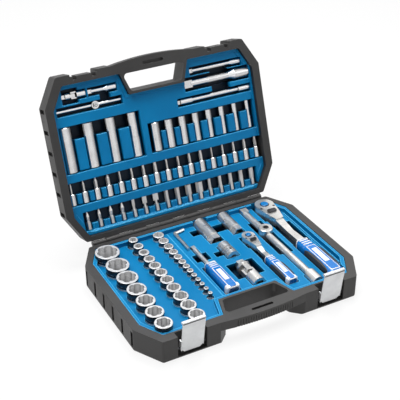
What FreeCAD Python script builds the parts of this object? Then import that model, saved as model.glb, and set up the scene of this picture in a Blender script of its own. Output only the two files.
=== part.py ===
"""Socket wrench set in a folding case.

Millimetres, +Z up. The origin is the centre of the base's underside, the front
is towards -Y and the lid hinges along the back. The lid and all it carries are
laid out closed over the base, and then turned open about the hinge pin.
"""
import FreeCAD, Part
import math
import os

V = FreeCAD.Vector
X_AXIS = V(1, 0, 0)
Y_AXIS = V(0, 1, 0)
Z_AXIS = V(0, 0, 1)

# Columns of tools across the base, each from its left neighbour
WALL_TO_LARGE = 31.0
LARGE_TO_MEDIUM = 54.0
MEDIUM_TO_SMALL = 46.5
SMALL_TO_SPINNER = 39.5
SPINNER_TO_JOINT = 48.0
JOINT_TO_QUARTER = 47.0
QUARTER_TO_TEE = 37.0
TEE_TO_HALF = 37.0
HALF_TO_WALL = 32.0
COLUMNS = [WALL_TO_LARGE, LARGE_TO_MEDIUM, MEDIUM_TO_SMALL, SMALL_TO_SPINNER, SPINNER_TO_JOINT,
           JOINT_TO_QUARTER, QUARTER_TO_TEE, TEE_TO_HALF, HALF_TO_WALL]

# Row of large sockets, which sets the depth of the case
LARGE_SIZES = [32, 30, 27, 24, 23, 22, 21]
LARGE_GAP = 1.525
LARGE_BACK_ROOM = 7.5
LARGE_FRONT_ROOM = 4.3


def large_od(size):
    """Outer diameter of a large socket at its mouth."""
    return size * 1.14 + 4.5


LARGE_ODS = [large_od(size) for size in LARGE_SIZES]
LARGE_ROW = sum(LARGE_ODS) + LARGE_GAP * (len(LARGE_ODS) - 1)

# Case
CORNER_X = 27.0
CORNER_Y = 48.0
BASE_H = 42.0
LID_H = 36.0
RIM_GAP = 0.6
FLOOR_T = 2.4
EDGE_R = 5.0
RIM_SIDE = 14.0
RIM_FRONT = 15.5
RIM_BACK = 8.0
MOUTH_CORNER_X = 21.0
MOUTH_CORNER_Y = 38.0
LID_OPEN_DEG = 108.5
CASE_W = sum(COLUMNS) + RIM_SIDE * 2
CASE_D = RIM_FRONT + LARGE_FRONT_ROOM + LARGE_ROW + LARGE_BACK_ROOM + RIM_BACK

# Carrying handle, half of it in each case half
GRIP_T = 16.0
GRIP_W = 23.0
GRIP_ARCH = 6.0
GRIP_HALF = 76.0
GAP_OUT_HALF = 58.0
GAP_IN_HALF = 47.0
GAP_DEPTH = 31.0
GAP_WALL = 4.5
GAP_R = 6.0
GRIP_RIB = 1.6
GRIP_RIB_PITCH = 4.4
GRIP_RIB_COUNT = 23
GRIP_SLOT_L = 38.0
GRIP_SLOT_W = 5.0
GRIP_SLOT_DEEP = 4.0

# Raised pads along the sides
PAD_COUNT = 5
PAD_SPAN = 176.0
PAD_SLOT = 7.0
PAD_DEEP = 4.0
PAD_EDGE = 7.0

# Hinge
KNUCKLE_R = 4.4
HINGE_ROOM = 1.2
HINGE_BACK = KNUCKLE_R + HINGE_ROOM
KNUCKLE_COUNT = 13
KNUCKLE_GAP = 0.5
HINGE_SPAN = 330.0
HINGE_PIN_R = 1.75
PIN_CLEAR = 0.06

# Latches
LATCH_X = 124.0
LATCH_W = 38.0
LATCH_T = 1.4
LATCH_BAY_W = 49.0
LATCH_BAY_D = 12.5
LATCH_LOW = 10.0
LATCH_CORNER = 6.0
LATCH_EAR = 6.0
LATCH_PIN_R = 1.6
PIN_SEAT = 4.8
LATCH_PIN_RISE = 6.0
LATCH_ROD_R = 2.2
LATCH_FACE_BACK = 1.0
LATCH_TILT_DEG = 8.0
LATCH_CLEAR = 0.5
CATCH_RISE = 24.0
CATCH_BACK = 4.0
CATCH_HOOK = 5.0
CATCH_NOTCH = 6.5
CATCH_NOTCH_DEEP = 10.0
CATCH_W = 27.0

# Fits
FIT = 0.3
TRAY_FIT = 0.4

HINGE_Y = CASE_D / 2 + HINGE_BACK
HINGE_Z = BASE_H + RIM_GAP / 2
LID_RIM_Z = BASE_H + RIM_GAP
FRONT_Y = -CASE_D / 2
MOUTH_X = CASE_W / 2 - RIM_SIDE
MOUTH_FRONT = FRONT_Y + RIM_FRONT
MOUTH_BACK = CASE_D / 2 - RIM_BACK
GRIP_IN_Y = FRONT_Y + GRIP_W - GRIP_ARCH
GAP_IN_Y = GRIP_IN_Y + GAP_DEPTH


def box(x0, x1, y0, y1, z0, z1):
    """Block between two opposite corners."""
    return Part.makeBox(x1 - x0, y1 - y0, z1 - z0, V(x0, y0, z0))


def rod(radius, start, end):
    """Round bar from one point to another."""
    along = end - start
    return Part.makeCylinder(radius, along.Length, start, along)


def taper(radius_a, radius_b, start, end):
    """Round bar whose radius changes from one end to the other."""
    along = end - start
    return Part.makeCone(radius_a, radius_b, along.Length, start, along)


def prism(points, z0, z1):
    """Upright prism on a closed outline of (x, y) points."""
    ring = [V(x, y, z0) for x, y in points]
    face = Part.Face(Part.makePolygon(ring + ring[:1]))
    return face.extrude(V(0, 0, z1 - z0))


def polygon_bar(sides, across_flats, start, end, turn_deg=0.0):
    """Bar with a regular section, measured across its flats."""
    along = end - start
    radius = across_flats / 2 / math.cos(math.pi / sides)
    ring = []
    for i in range(sides):
        angle = math.radians(turn_deg) + 2 * math.pi * i / sides
        ring.append(V(radius * math.cos(angle), radius * math.sin(angle), 0))
    bar = Part.Face(Part.makePolygon(ring + ring[:1])).extrude(V(0, 0, along.Length))
    bar.Placement = FreeCAD.Placement(start, FreeCAD.Rotation(Z_AXIS, along))
    return bar


def square_bar(across, start, end):
    """Square bar with its flats level and upright."""
    return polygon_bar(4, across, start, end, 45.0)


def join(shapes):
    """One solid from pieces that touch or overlap."""
    if len(shapes) == 1:
        return shapes[0]
    return shapes[0].multiFuse(shapes[1:]).removeSplitter()


def carve(shape, cutters):
    """A solid with every cutter taken out of it."""
    return shape.cut(cutters).removeSplitter()


def round_edges(shape, radius, choose):
    """Fillet the edges that the choose test picks."""
    return shape.makeFillet(radius, [e for e in shape.Edges if choose(e)])


def upright(edge):
    """True for an edge that runs along Z."""
    a, b = edge.Vertexes[0].Point, edge.Vertexes[-1].Point
    return abs(a.x - b.x) < 1e-6 and abs(a.y - b.y) < 1e-6


def at_height(z):
    """Test for an edge that lies wholly at one height."""
    return lambda edge: all(abs(v.Z - z) < 1e-6 for v in edge.Vertexes)


def save(node, solids):
    """Write one node: a single solid, or a group of like solids."""
    shape = solids[0] if len(solids) == 1 else Part.makeCompound(solids)
    shape.exportStep("parts/" + node + ".step")


def open_lid(shape):
    """Turn something laid out in the closed lid to where the open lid holds it."""
    turned = shape.copy()
    turned.rotate(V(0, HINGE_Y, HINGE_Z), X_AXIS, -LID_OPEN_DEG)
    return turned


def lid_z(depth):
    """Height, with the lid closed, of a depth below the lid's rim."""
    return LID_RIM_Z + depth


def octagon(half_x, back, front, corner_x, corner_y):
    """Case outline: a rectangle with its four corners cut off."""
    return [(-half_x + corner_x, front), (half_x - corner_x, front), (half_x, front + corner_y),
            (half_x, back - corner_y), (half_x - corner_x, back), (-half_x + corner_x, back),
            (-half_x, back - corner_y), (-half_x, front + corner_y)]


def hand_gap(grow, z0, z1):
    """Opening between handle and case, grown on every side by a margin."""
    outline = [(-GAP_OUT_HALF - grow, GRIP_IN_Y - grow), (GAP_OUT_HALF + grow, GRIP_IN_Y - grow),
               (GAP_IN_HALF + grow, GAP_IN_Y + grow), (-GAP_IN_HALF - grow, GAP_IN_Y + grow)]
    return round_edges(prism(outline, z0, z1), GAP_R + grow, upright)


def front_notch(grow, z0, z1):
    """Room under the handle, where the case front is set back to the hand gap."""
    outline = [(-GRIP_HALF - grow, FRONT_Y - GRIP_ARCH), (GRIP_HALF + grow, FRONT_Y - GRIP_ARCH),
               (GRIP_HALF + grow, FRONT_Y), (GAP_OUT_HALF + grow, GRIP_IN_Y),
               (GAP_IN_HALF + grow, GAP_IN_Y + grow), (-GAP_IN_HALF - grow, GAP_IN_Y + grow),
               (-GAP_OUT_HALF - grow, GRIP_IN_Y), (-GRIP_HALF - grow, FRONT_Y)]
    return prism(outline, z0, z1)


def arch_y(x):
    """Front of the handle at a place across the case."""
    radius = (GRIP_HALF ** 2 + GRIP_ARCH ** 2) / 2 / GRIP_ARCH
    return FRONT_Y - GRIP_ARCH + radius - math.sqrt(radius ** 2 - x ** 2)


def handle_bar(height):
    """Half of the carrying handle: an arched bar with grip ribs and a slot."""
    left, right = V(-GRIP_HALF, FRONT_Y, height - GRIP_T), V(GRIP_HALF, FRONT_Y, height - GRIP_T)
    front = Part.Arc(left, V(0, arch_y(0), height - GRIP_T), right).toShape()
    back_right = V(GRIP_HALF, GAP_IN_Y, height - GRIP_T)
    back_left = V(-GRIP_HALF, GAP_IN_Y, height - GRIP_T)
    rest = Part.makePolygon([right, back_right, back_left, left])
    bar = Part.Face(Part.Wire([front] + rest.Edges)).extrude(V(0, 0, GRIP_T))
    bar = bar.common(front_notch(GAP_WALL, height - GRIP_T, height))
    slot = box(-GRIP_SLOT_L / 2, GRIP_SLOT_L / 2, 0, GRIP_SLOT_W, height - GRIP_SLOT_DEEP, height)
    slot = round_edges(slot, GRIP_SLOT_W / 2 - FIT, upright)
    slot.translate(V(0, GRIP_IN_Y - GRIP_W / 2 - GRIP_SLOT_W / 2, 0))
    cutters = [slot]
    for i in range(GRIP_RIB_COUNT):
        x = (i - (GRIP_RIB_COUNT - 1) / 2) * GRIP_RIB_PITCH
        y = arch_y(x)
        cutters.append(box(x - GRIP_RIB / 2, x + GRIP_RIB / 2, y - GRIP_RIB, y + GRIP_RIB / 2,
                           height - GRIP_T, height - GRIP_RIB * 2))
    return carve(bar, cutters)


def mouth(z0, z1, inset=0.0):
    """Room for the tray inside a case half, clear of the hand gap."""
    front = MOUTH_FRONT + inset
    outline = octagon(MOUTH_X - inset, MOUTH_BACK - inset, front, MOUTH_CORNER_X, MOUTH_CORNER_Y)
    room = round_edges(prism(outline, z0, z1), EDGE_R, upright)
    return room.cut(front_notch(GAP_WALL + inset, z0, z1))


def case_half(height):
    """One half of the case, floor down: octagonal shell, side pads and handle bar."""
    outer = prism(octagon(CASE_W / 2, CASE_D / 2, FRONT_Y, CORNER_X, CORNER_Y), 0, height)
    outer = round_edges(outer, EDGE_R, lambda e: upright(e) or at_height(0)(e))
    cutters = [mouth(FLOOR_T, height), front_notch(0, 0, height)]
    pitch = PAD_SPAN / PAD_COUNT
    for side in (-1, 1):
        edge = side * CASE_W / 2
        inner = edge - side * PAD_DEEP
        for i in range(PAD_COUNT + 1):
            y = -PAD_SPAN / 2 + i * pitch
            cutters.append(box(min(edge, inner), max(edge, inner), y - PAD_SLOT / 2, y + PAD_SLOT / 2,
                               PAD_EDGE, height - PAD_EDGE))
    shell = carve(outer, cutters)
    return carve(join([shell, handle_bar(height)]), [hand_gap(0, 0, height)])


def knuckles(first, web_z0, web_z1):
    """Every other hinge knuckle with its web, and a strip that closes the gap behind the others."""
    pitch = HINGE_SPAN / KNUCKLE_COUNT
    half = HINGE_SPAN / 2
    pieces = [box(-half, half, CASE_D / 2 - EDGE_R, HINGE_Y - KNUCKLE_R - FIT, web_z0, web_z1)]
    for i in range(first, KNUCKLE_COUNT, 2):
        x0 = -half + i * pitch + KNUCKLE_GAP / 2
        x1 = x0 + pitch - KNUCKLE_GAP
        pieces.append(rod(KNUCKLE_R, V(x0, HINGE_Y, HINGE_Z), V(x1, HINGE_Y, HINGE_Z)))
        pieces.append(box(x0, x1, CASE_D / 2 - EDGE_R, HINGE_Y, web_z0, web_z1))
    return pieces


def hinge_bore():
    """Hole for the hinge pin through all knuckles."""
    return rod(HINGE_PIN_R + PIN_CLEAR, V(-CASE_W / 2, HINGE_Y, HINGE_Z), V(CASE_W / 2, HINGE_Y, HINGE_Z))


LATCH_OUT_Y = FRONT_Y + LATCH_FACE_BACK
LATCH_IN_Y = LATCH_OUT_Y + LATCH_T
LATCH_PIN_Y = LATCH_IN_Y + LATCH_EAR / 2
LATCH_PIN_Z = LATCH_LOW + LATCH_PIN_RISE
CATCH_Y = FRONT_Y + CATCH_BACK
ROD_Z = lid_z(CATCH_RISE) + LATCH_ROD_R + LATCH_CLEAR
PIN_REACH = LATCH_BAY_W / 2 + PIN_SEAT


def base_shell():
    """Lower case half with the latch bays and its hinge knuckles."""
    shell = case_half(BASE_H)
    cutters = [hinge_bore()]
    for side in (-1, 1):
        x = side * LATCH_X
        half = LATCH_BAY_W / 2
        cutters.append(box(x - half, x + half, FRONT_Y - EDGE_R, FRONT_Y + LATCH_BAY_D,
                           LATCH_LOW / 2, BASE_H))
        cutters.append(rod(LATCH_PIN_R + PIN_CLEAR, V(x - PIN_REACH, LATCH_PIN_Y, LATCH_PIN_Z),
                           V(x + PIN_REACH, LATCH_PIN_Y, LATCH_PIN_Z)))
    return carve(join([shell] + knuckles(0, HINGE_Z - KNUCKLE_R, BASE_H)), cutters)


def lid_shell():
    """Upper case half, laid out closed, with the two latch catches."""
    shell = case_half(LID_H).mirror(V(0, 0, 0), Z_AXIS)
    shell.translate(V(0, 0, lid_z(LID_H)))
    cutters = [hinge_bore()]
    for side in (-1, 1):
        x = side * LATCH_X
        half = LATCH_BAY_W / 2
        notch = CATCH_W / 2 + CATCH_NOTCH
        cutters.append(box(x - half, x + half, FRONT_Y - EDGE_R, CATCH_Y, LID_RIM_Z, lid_z(LID_H)))
        cutters.append(box(x - half, x + half, FRONT_Y - EDGE_R, CATCH_Y + CATCH_HOOK,
                           lid_z(CATCH_RISE), lid_z(LID_H)))
        for edge in (-1, 1):
            xs = sorted((x + edge * CATCH_W / 2, x + edge * notch))
            cutters.append(box(xs[0], xs[1], FRONT_Y - EDGE_R, FRONT_Y + CATCH_NOTCH_DEEP,
                               LID_RIM_Z, lid_z(CATCH_RISE)))
    return carve(join([shell] + knuckles(1, LID_RIM_Z, HINGE_Z + KNUCKLE_R)), cutters)


def latch(side):
    """Stamped latch plate with pin ears and a rolled hook, swung a little open."""
    x = side * LATCH_X
    half = LATCH_W / 2
    top = ROD_Z + LATCH_ROD_R
    plate = box(x - half, x + half, LATCH_OUT_Y, LATCH_IN_Y, LATCH_LOW, top)
    corners = [e for e in plate.Edges if abs(e.Vertexes[0].Y - e.Vertexes[-1].Y) > LATCH_T / 2
               and e.Vertexes[0].Z < LATCH_LOW + FIT]
    plate = plate.makeChamfer(LATCH_CORNER, corners)
    pieces = [plate, rod(LATCH_ROD_R, V(x - half, LATCH_IN_Y + LATCH_ROD_R - FIT, ROD_Z),
                         V(x + half, LATCH_IN_Y + LATCH_ROD_R - FIT, ROD_Z))]
    ear_z0 = LATCH_PIN_Z - LATCH_EAR / 2
    ear_z1 = BASE_H / 2 + LATCH_LOW
    for edge in (-1, 1):
        xs = sorted((x + edge * half, x + edge * (half - LATCH_T)))
        pieces.append(box(xs[0], xs[1], LATCH_OUT_Y, LATCH_IN_Y + LATCH_EAR, ear_z0, ear_z1))
    bore = rod(LATCH_PIN_R + PIN_CLEAR, V(x - half, LATCH_PIN_Y, LATCH_PIN_Z),
               V(x + half, LATCH_PIN_Y, LATCH_PIN_Z))
    made = carve(join(pieces), [bore])
    made.rotate(V(x, LATCH_PIN_Y, LATCH_PIN_Z), X_AXIS, LATCH_TILT_DEG)
    return made


def latch_pin(side):
    """Steel pin across a latch bay, held in the base."""
    x = side * LATCH_X
    reach = PIN_REACH - FIT
    return rod(LATCH_PIN_R, V(x - reach, LATCH_PIN_Y, LATCH_PIN_Z), V(x + reach, LATCH_PIN_Y, LATCH_PIN_Z))


def hinge_pin():
    """Steel rod through the hinge knuckles."""
    half = HINGE_SPAN / 2
    return rod(HINGE_PIN_R, V(-half, HINGE_Y, HINGE_Z), V(half, HINGE_Y, HINGE_Z))


# Square drives and sockets standing in the base
HALF_DRIVE = 12.7
QUARTER_DRIVE = 6.35
DRIVE_PLAY = 0.15
LARGE_X = -MOUTH_X + WALL_TO_LARGE
LARGE_L = 44.0
LARGE_TOP = 49.0
LARGE_BACK_Y = MOUTH_BACK - LARGE_BACK_ROOM - LARGE_ODS[0] / 2
LARGE_FRONT_Y = MOUTH_FRONT + LARGE_FRONT_ROOM + LARGE_ODS[-1] / 2
MEDIUM_SIZES = [10, 11, 12, 13, 14, 15, 16, 17, 18, 19, 20]
MEDIUM_X = LARGE_X + LARGE_TO_MEDIUM
MEDIUM_L = 38.0
MEDIUM_TOP = 47.0
MEDIUM_BACK_Y = MOUTH_BACK - 12.5
MEDIUM_FRONT_Y = MOUTH_FRONT + 15.5
MEDIUM_FOOT_OD = 20.5
SMALL_SIZES = [14, 13, 12, 11, 10, 9, 8, 7, 6, 5.5, 5, 4.5, 4]
SMALL_X = MEDIUM_X + MEDIUM_TO_SMALL
SMALL_L = 25.0
SMALL_TOP = 43.0
SMALL_BACK_Y = MOUTH_BACK - 14.0
SMALL_FRONT_Y = -67.0
SMALL_FOOT_OD = 11.5
SOCKET_FOOT = 0.45
SOCKET_CHAMFER = 0.7
MOUTH_DEPTH = 0.5
LOBES = 6
LOBE_REACH = 0.6
LOBE_R = 0.48
DRIVE_DEPTH = 0.4


def medium_od(size):
    """Outer diameter of a medium socket at its mouth."""
    return size * 1.05 + 5.5


def small_od(size):
    """Outer diameter of a small socket at its mouth."""
    return size * 1.15 + 2.6


def spread(widths, back_y, front_y):
    """Centres of a row with equal gaps between neighbours of different widths."""
    used = sum(widths) - (widths[0] + widths[-1]) / 2
    gap = (back_y - front_y - used) / (len(widths) - 1)
    centres = [back_y]
    for i in range(1, len(widths)):
        centres.append(centres[-1] - (widths[i - 1] + widths[i]) / 2 - gap)
    return centres


def lobed_bar(size, start, end):
    """Rods that cut a six-lobed mouth, which grips a hexagon beside its corners."""
    half = size / 2
    turn = FreeCAD.Rotation(Z_AXIS, end - start)
    rods = [rod(half * LOBE_REACH, start, end)]
    for i in range(LOBES):
        angle = 2 * math.pi * i / LOBES
        aside = turn.multVec(V(math.cos(angle), math.sin(angle), 0)) * (half * LOBE_REACH)
        rods.append(rod(half * LOBE_R, start + aside, end + aside))
    return rods


def socket(mouth_od, foot_od, length, size, drive, foot, along):
    """Socket with a six-lobed mouth at one end and a square drive hole at the other."""
    end = foot + along * length
    shoulder = foot + along * (length * SOCKET_FOOT)
    if foot_od > mouth_od:
        body = join([rod(foot_od / 2, foot, shoulder), rod(mouth_od / 2, foot, end)])
    else:
        body = rod(mouth_od / 2, foot, end)
    rims = [e for e in body.Edges if e.Closed and min((e.CenterOfMass - end).Length,
                                                      (e.CenterOfMass - foot).Length) < FIT]
    body = body.makeChamfer(SOCKET_CHAMFER, rims)
    lobes = lobed_bar(size, end - along * (length * MOUTH_DEPTH), end)
    square = square_bar(drive + DRIVE_PLAY, foot, foot + along * (length * DRIVE_DEPTH))
    return carve(body, lobes + [square])


def socket_row(x, top, length, sizes, mouth_od, foot_od, back_y, front_y, drive):
    """Upright sockets of one row, with each one's widest diameter and place."""
    widths = [max(mouth_od(size), foot_od) for size in sizes]
    row = []
    for size, width, y in zip(sizes, widths, spread(widths, back_y, front_y)):
        foot = V(x, y, top - length)
        row.append((socket(mouth_od(size), foot_od, length, size, drive, foot, Z_AXIS), width, foot))
    return row


def large_row():
    """The seven largest sockets, along the left side."""
    return socket_row(LARGE_X, LARGE_TOP, LARGE_L, LARGE_SIZES, large_od, 0, LARGE_BACK_Y,
                      LARGE_FRONT_Y, HALF_DRIVE)


def medium_row():
    """Eleven sockets with the larger drive in the second row."""
    return socket_row(MEDIUM_X, MEDIUM_TOP, MEDIUM_L, MEDIUM_SIZES, medium_od, MEDIUM_FOOT_OD,
                      MEDIUM_BACK_Y, MEDIUM_FRONT_Y, HALF_DRIVE)


def small_row():
    """Thirteen sockets with the smaller drive in the third row."""
    return socket_row(SMALL_X, SMALL_TOP, SMALL_L, SMALL_SIZES, small_od, SMALL_FOOT_OD, SMALL_BACK_Y,
                      SMALL_FRONT_Y, QUARTER_DRIVE)


class Grip:
    """Sizes of one moulded handle grip."""

    def __init__(self, x, grip_y, end_y, grip_w, grip_h, top_z):
        self.x = x
        self.grip_y = grip_y
        self.end_y = end_y
        self.grip_w = grip_w
        self.grip_h = grip_h
        self.grip_top = top_z
        self.grip_low = top_z - grip_h


class Ratchet(Grip):
    """Sizes of one reversible ratchet, lying with its drive square down."""

    def __init__(self, head_y, head_r, head_t, neck_y, neck_w, drive, **grip):
        super().__init__(**grip)
        self.head_y = head_y
        self.head_r = head_r
        self.top_z = self.grip_top
        self.cover_t = head_t * 0.2
        self.cover_z = self.top_z - self.cover_t
        self.head_z = self.top_z - head_t
        self.neck_y = neck_y
        self.neck_w = neck_w
        self.drive = drive
        self.gear_r = head_r * 0.68
        self.boss_r = drive * 0.78
        self.button_r = head_r * 0.4
        self.stem_r = head_r * 0.12
        self.screw_r = head_r * 0.12
        self.screw_x = head_r * 0.72
        self.screw_y = head_y - head_r * 0.62
        self.lever_y = head_y - head_r * 1.45
        self.lever_w = head_r * 0.95
        self.lever_l = head_r * 0.5
        self.pawl_r = head_r * 0.3
        self.web = head_t * 0.14

    def at(self, y, z):
        """Point on the tool's long axis."""
        return V(self.x, y, z)


SPINNER_X = SMALL_X + SMALL_TO_SPINNER
JOINT_X = SPINNER_X + SPINNER_TO_JOINT
QUARTER_X = JOINT_X + JOINT_TO_QUARTER
TEE_X = QUARTER_X + QUARTER_TO_TEE
HALF_X = TEE_X + TEE_TO_HALF
HALF_HEAD_Y = MOUTH_BACK - 19.0
RATCHETS = {
    "half": Ratchet(x=HALF_X, head_y=HALF_HEAD_Y, head_r=17.5, head_t=16.0, neck_y=62.0, neck_w=15.0,
                    drive=HALF_DRIVE, grip_y=-8.0, end_y=-113.0, grip_w=30.0, grip_h=24.0, top_z=45.0),
    "quarter": Ratchet(x=QUARTER_X, head_y=44.0, head_r=11.5, head_t=11.0, neck_y=9.0, neck_w=10.0,
                       drive=QUARTER_DRIVE, grip_y=-22.0, end_y=-97.0, grip_w=21.0, grip_h=18.0, top_z=43.0)}
TANG = 14.0
SHANK_SLIM = 0.8
BUTTON_RISE = 2.0
BUTTON_TRAVEL = 1.5
LEVER_T = 2.6
GEAR_TEETH = 36
GEAR_TOOTH = 0.9
GRIP_EDGE = 0.21
INLAY_T = 0.8
INLAY_PROUD = 0.3


def teardrop(r, z0, z1):
    """Ratchet head outline: a round end running into the neck."""
    half = r.neck_w / 2
    wide = r.head_r * 0.94
    shoulder = r.head_y - r.head_r * 0.34
    low = r.head_y - r.head_r * 1.6
    tail = prism([(r.x - wide, shoulder), (r.x - wide * 0.8, low), (r.x - half, r.neck_y),
                  (r.x + half, r.neck_y), (r.x + wide * 0.8, low), (r.x + wide, shoulder)], z0, z1)
    return join([rod(r.head_r, r.at(r.head_y, z0), r.at(r.head_y, z1)), tail])


def shank(r):
    """Flat bar from the neck into the grip, dipping between them."""
    mid_y = (r.neck_y + r.grip_y) / 2
    low = r.head_z + r.web
    deep = (r.cover_z - low) * SHANK_SLIM
    sections = []
    stations = [(r.neck_y + TANG, r.neck_w, 0), (r.neck_y, r.neck_w, 0), (mid_y, r.neck_w * 0.8, 0.35),
                (r.grip_y, r.neck_w * 0.9, 0.15), (r.grip_y - TANG, r.neck_w * 0.9, 0.15)]
    for y, width, drop in stations:
        z1 = r.cover_z - FIT - drop * deep
        ring = [V(r.x - width / 2, y, z1 - deep), V(r.x + width / 2, y, z1 - deep),
                V(r.x + width / 2, y, z1), V(r.x - width / 2, y, z1)]
        sections.append(Part.makePolygon(ring + ring[:1]))
    return Part.makeLoft(sections, True, True)


def screw_places(r):
    """The two cover screws, beside the button."""
    return [V(r.x + side * r.screw_x, r.screw_y, 0) for side in (-1, 1)]


def ratchet_body(r):
    """Forged head and shank, with the gear room open at the top."""
    gear_room = rod(r.gear_r + FIT, r.at(r.head_y, r.head_z + r.web), r.at(r.head_y, r.top_z))
    boss_hole = rod(r.boss_r + FIT, r.at(r.head_y, r.head_z - r.web), r.at(r.head_y, r.top_z))
    pawl_room = rod(r.pawl_r + FIT, r.at(r.lever_y, r.head_z + r.web), r.at(r.lever_y, r.top_z))
    cutters = [gear_room, boss_hole, pawl_room]
    for place in screw_places(r):
        low, high = place + V(0, 0, r.head_z + r.web), place + V(0, 0, r.top_z)
        cutters.append(rod(r.screw_r * 0.6 + PIN_CLEAR, low, high))
    return carve(join([teardrop(r, r.head_z, r.cover_z), shank(r)]), cutters)


def ratchet_cover(r):
    """Cover plate on the head, with holes for button, lever and screws."""
    plate = teardrop(r, r.cover_z, r.top_z)
    cutters = [rod(r.button_r + FIT, r.at(r.head_y, r.cover_z), r.at(r.head_y, r.top_z)),
               rod(r.stem_r + PIN_CLEAR, r.at(r.lever_y, r.cover_z), r.at(r.lever_y, r.top_z))]
    for place in screw_places(r):
        cutters.append(rod(r.screw_r + FIT, place + V(0, 0, r.cover_z), place + V(0, 0, r.top_z)))
    return carve(plate, cutters)


def ratchet_screws(r):
    """Two screws that hold the cover."""
    screws = []
    for place in screw_places(r):
        head = rod(r.screw_r, place + V(0, 0, r.cover_z), place + V(0, 0, r.top_z - FIT))
        stem = rod(r.screw_r * 0.6, place + V(0, 0, r.head_z + r.web * 2), place + V(0, 0, r.cover_z))
        screws.append(join([head, stem]))
    return screws


def ratchet_gear(r):
    """Toothed drive gear with its square, bored for the release button."""
    low = r.head_z + r.web + FIT
    blank = rod(r.gear_r, r.at(r.head_y, low), r.at(r.head_y, r.cover_z - FIT))
    cutters = []
    for i in range(GEAR_TEETH):
        angle = 2 * math.pi * i / GEAR_TEETH
        place = V(r.x + r.gear_r * math.cos(angle), r.head_y + r.gear_r * math.sin(angle), 0)
        start, end = place + V(0, 0, low - FIT), place + V(0, 0, r.cover_z)
        cutters.append(rod(GEAR_TOOTH * r.gear_r / GEAR_TEETH, start, end))
    foot = r.head_z - FIT
    boss = rod(r.boss_r, r.at(r.head_y, foot), r.at(r.head_y, low + FIT))
    square = square_bar(r.drive, r.at(r.head_y, foot - r.drive), r.at(r.head_y, foot + FIT))
    depth = r.head_z - BUTTON_TRAVEL - FIT
    bore = rod(r.stem_r + PIN_CLEAR, r.at(r.head_y, depth), r.at(r.head_y, r.top_z))
    return carve(join([carve(blank, cutters), boss, square]), [bore])


def ratchet_button(r):
    """Quick-release button on its stem in the gear."""
    cap_low = r.cover_z + BUTTON_TRAVEL + FIT
    cap = rod(r.button_r, r.at(r.head_y, cap_low), r.at(r.head_y, r.top_z + BUTTON_RISE))
    cap = round_edges(cap, BUTTON_RISE * 0.6, at_height(r.top_z + BUTTON_RISE))
    stem = rod(r.stem_r, r.at(r.head_y, r.head_z), r.at(r.head_y, cap_low + FIT))
    return join([cap, stem])


def ratchet_lever(r):
    """Reversing lever on the cover, with its stem."""
    low = r.top_z + FIT
    plate = box(r.x - r.lever_w / 2, r.x + r.lever_w / 2, r.lever_y - r.lever_l / 2,
                r.lever_y + r.lever_l / 2, low, low + LEVER_T)
    plate = round_edges(plate, r.lever_l * 0.3, upright)
    stem = rod(r.stem_r, r.at(r.lever_y, r.cover_z), r.at(r.lever_y, low + FIT))
    return join([plate, stem])


def ratchet_pawl(r):
    """Pawl under the lever, turning with it in the head."""
    return rod(r.pawl_r, r.at(r.lever_y, r.head_z + r.web + FIT), r.at(r.lever_y, r.cover_z))


def grip_blank(r):
    """Outer form of the handle grip: a wide collar, a waist and a rounded end."""
    half = r.grip_w / 2
    length = r.grip_y - r.end_y
    outline = [(half * 0.8, r.grip_y), (half * 0.95, r.grip_y - length * 0.06),
               (half, r.grip_y - length * 0.3), (half * 0.9, r.grip_y - length * 0.42),
               (half, r.grip_y - length * 0.6), (half * 0.88, r.end_y)]
    points = [(r.x + x, y) for x, y in outline] + [(r.x - x, y) for x, y in reversed(outline)]
    blank = prism(points, r.grip_low, r.grip_top)
    return round_edges(blank, r.grip_h * GRIP_EDGE,
                       lambda e: at_height(r.grip_low)(e) or at_height(r.grip_top)(e))


def grip_side_room(r):
    """Where the dark side pads sit in the grip."""
    length = r.grip_y - r.end_y
    y1 = r.grip_y - length * 0.42
    z1 = r.grip_top - r.grip_h * 0.22
    rooms = []
    for side in (-1, 1):
        xs = sorted((r.x + side * r.grip_w * 0.36, r.x + side * r.grip_w))
        rooms.append(box(xs[0], xs[1], r.end_y + length * 0.05, y1, r.grip_low, z1))
    return rooms


def grip_inlays(r):
    """Pale stripes on the collar and a bare pale panel behind them."""
    length = r.grip_y - r.end_y
    low, high = r.grip_top - INLAY_T, r.grip_top + INLAY_PROUD
    half = r.grip_w * 0.27
    inlays = []
    for i in range(3):
        y = r.grip_y - length * (0.12 + 0.08 * i)
        inlays.append(box(r.x - half, r.x + half, y - length * 0.02, y + length * 0.02, low, high))
    panel = box(r.x - half * 0.62, r.x + half * 0.62, r.grip_y - length * 0.88, r.grip_y - length * 0.44,
                low, high)
    inlays.append(round_edges(panel, half * 0.2, upright))
    return inlays


def ratchet_grip(r):
    """Grip moulded over the shank, with room for pads and inlays."""
    return carve(grip_blank(r), [shank(r)] + grip_side_room(r) + grip_inlays(r))


def ratchet_pads(r):
    """Dark soft pads on both sides of the grip."""
    return [grip_blank(r).common(room) for room in grip_side_room(r)]


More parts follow.
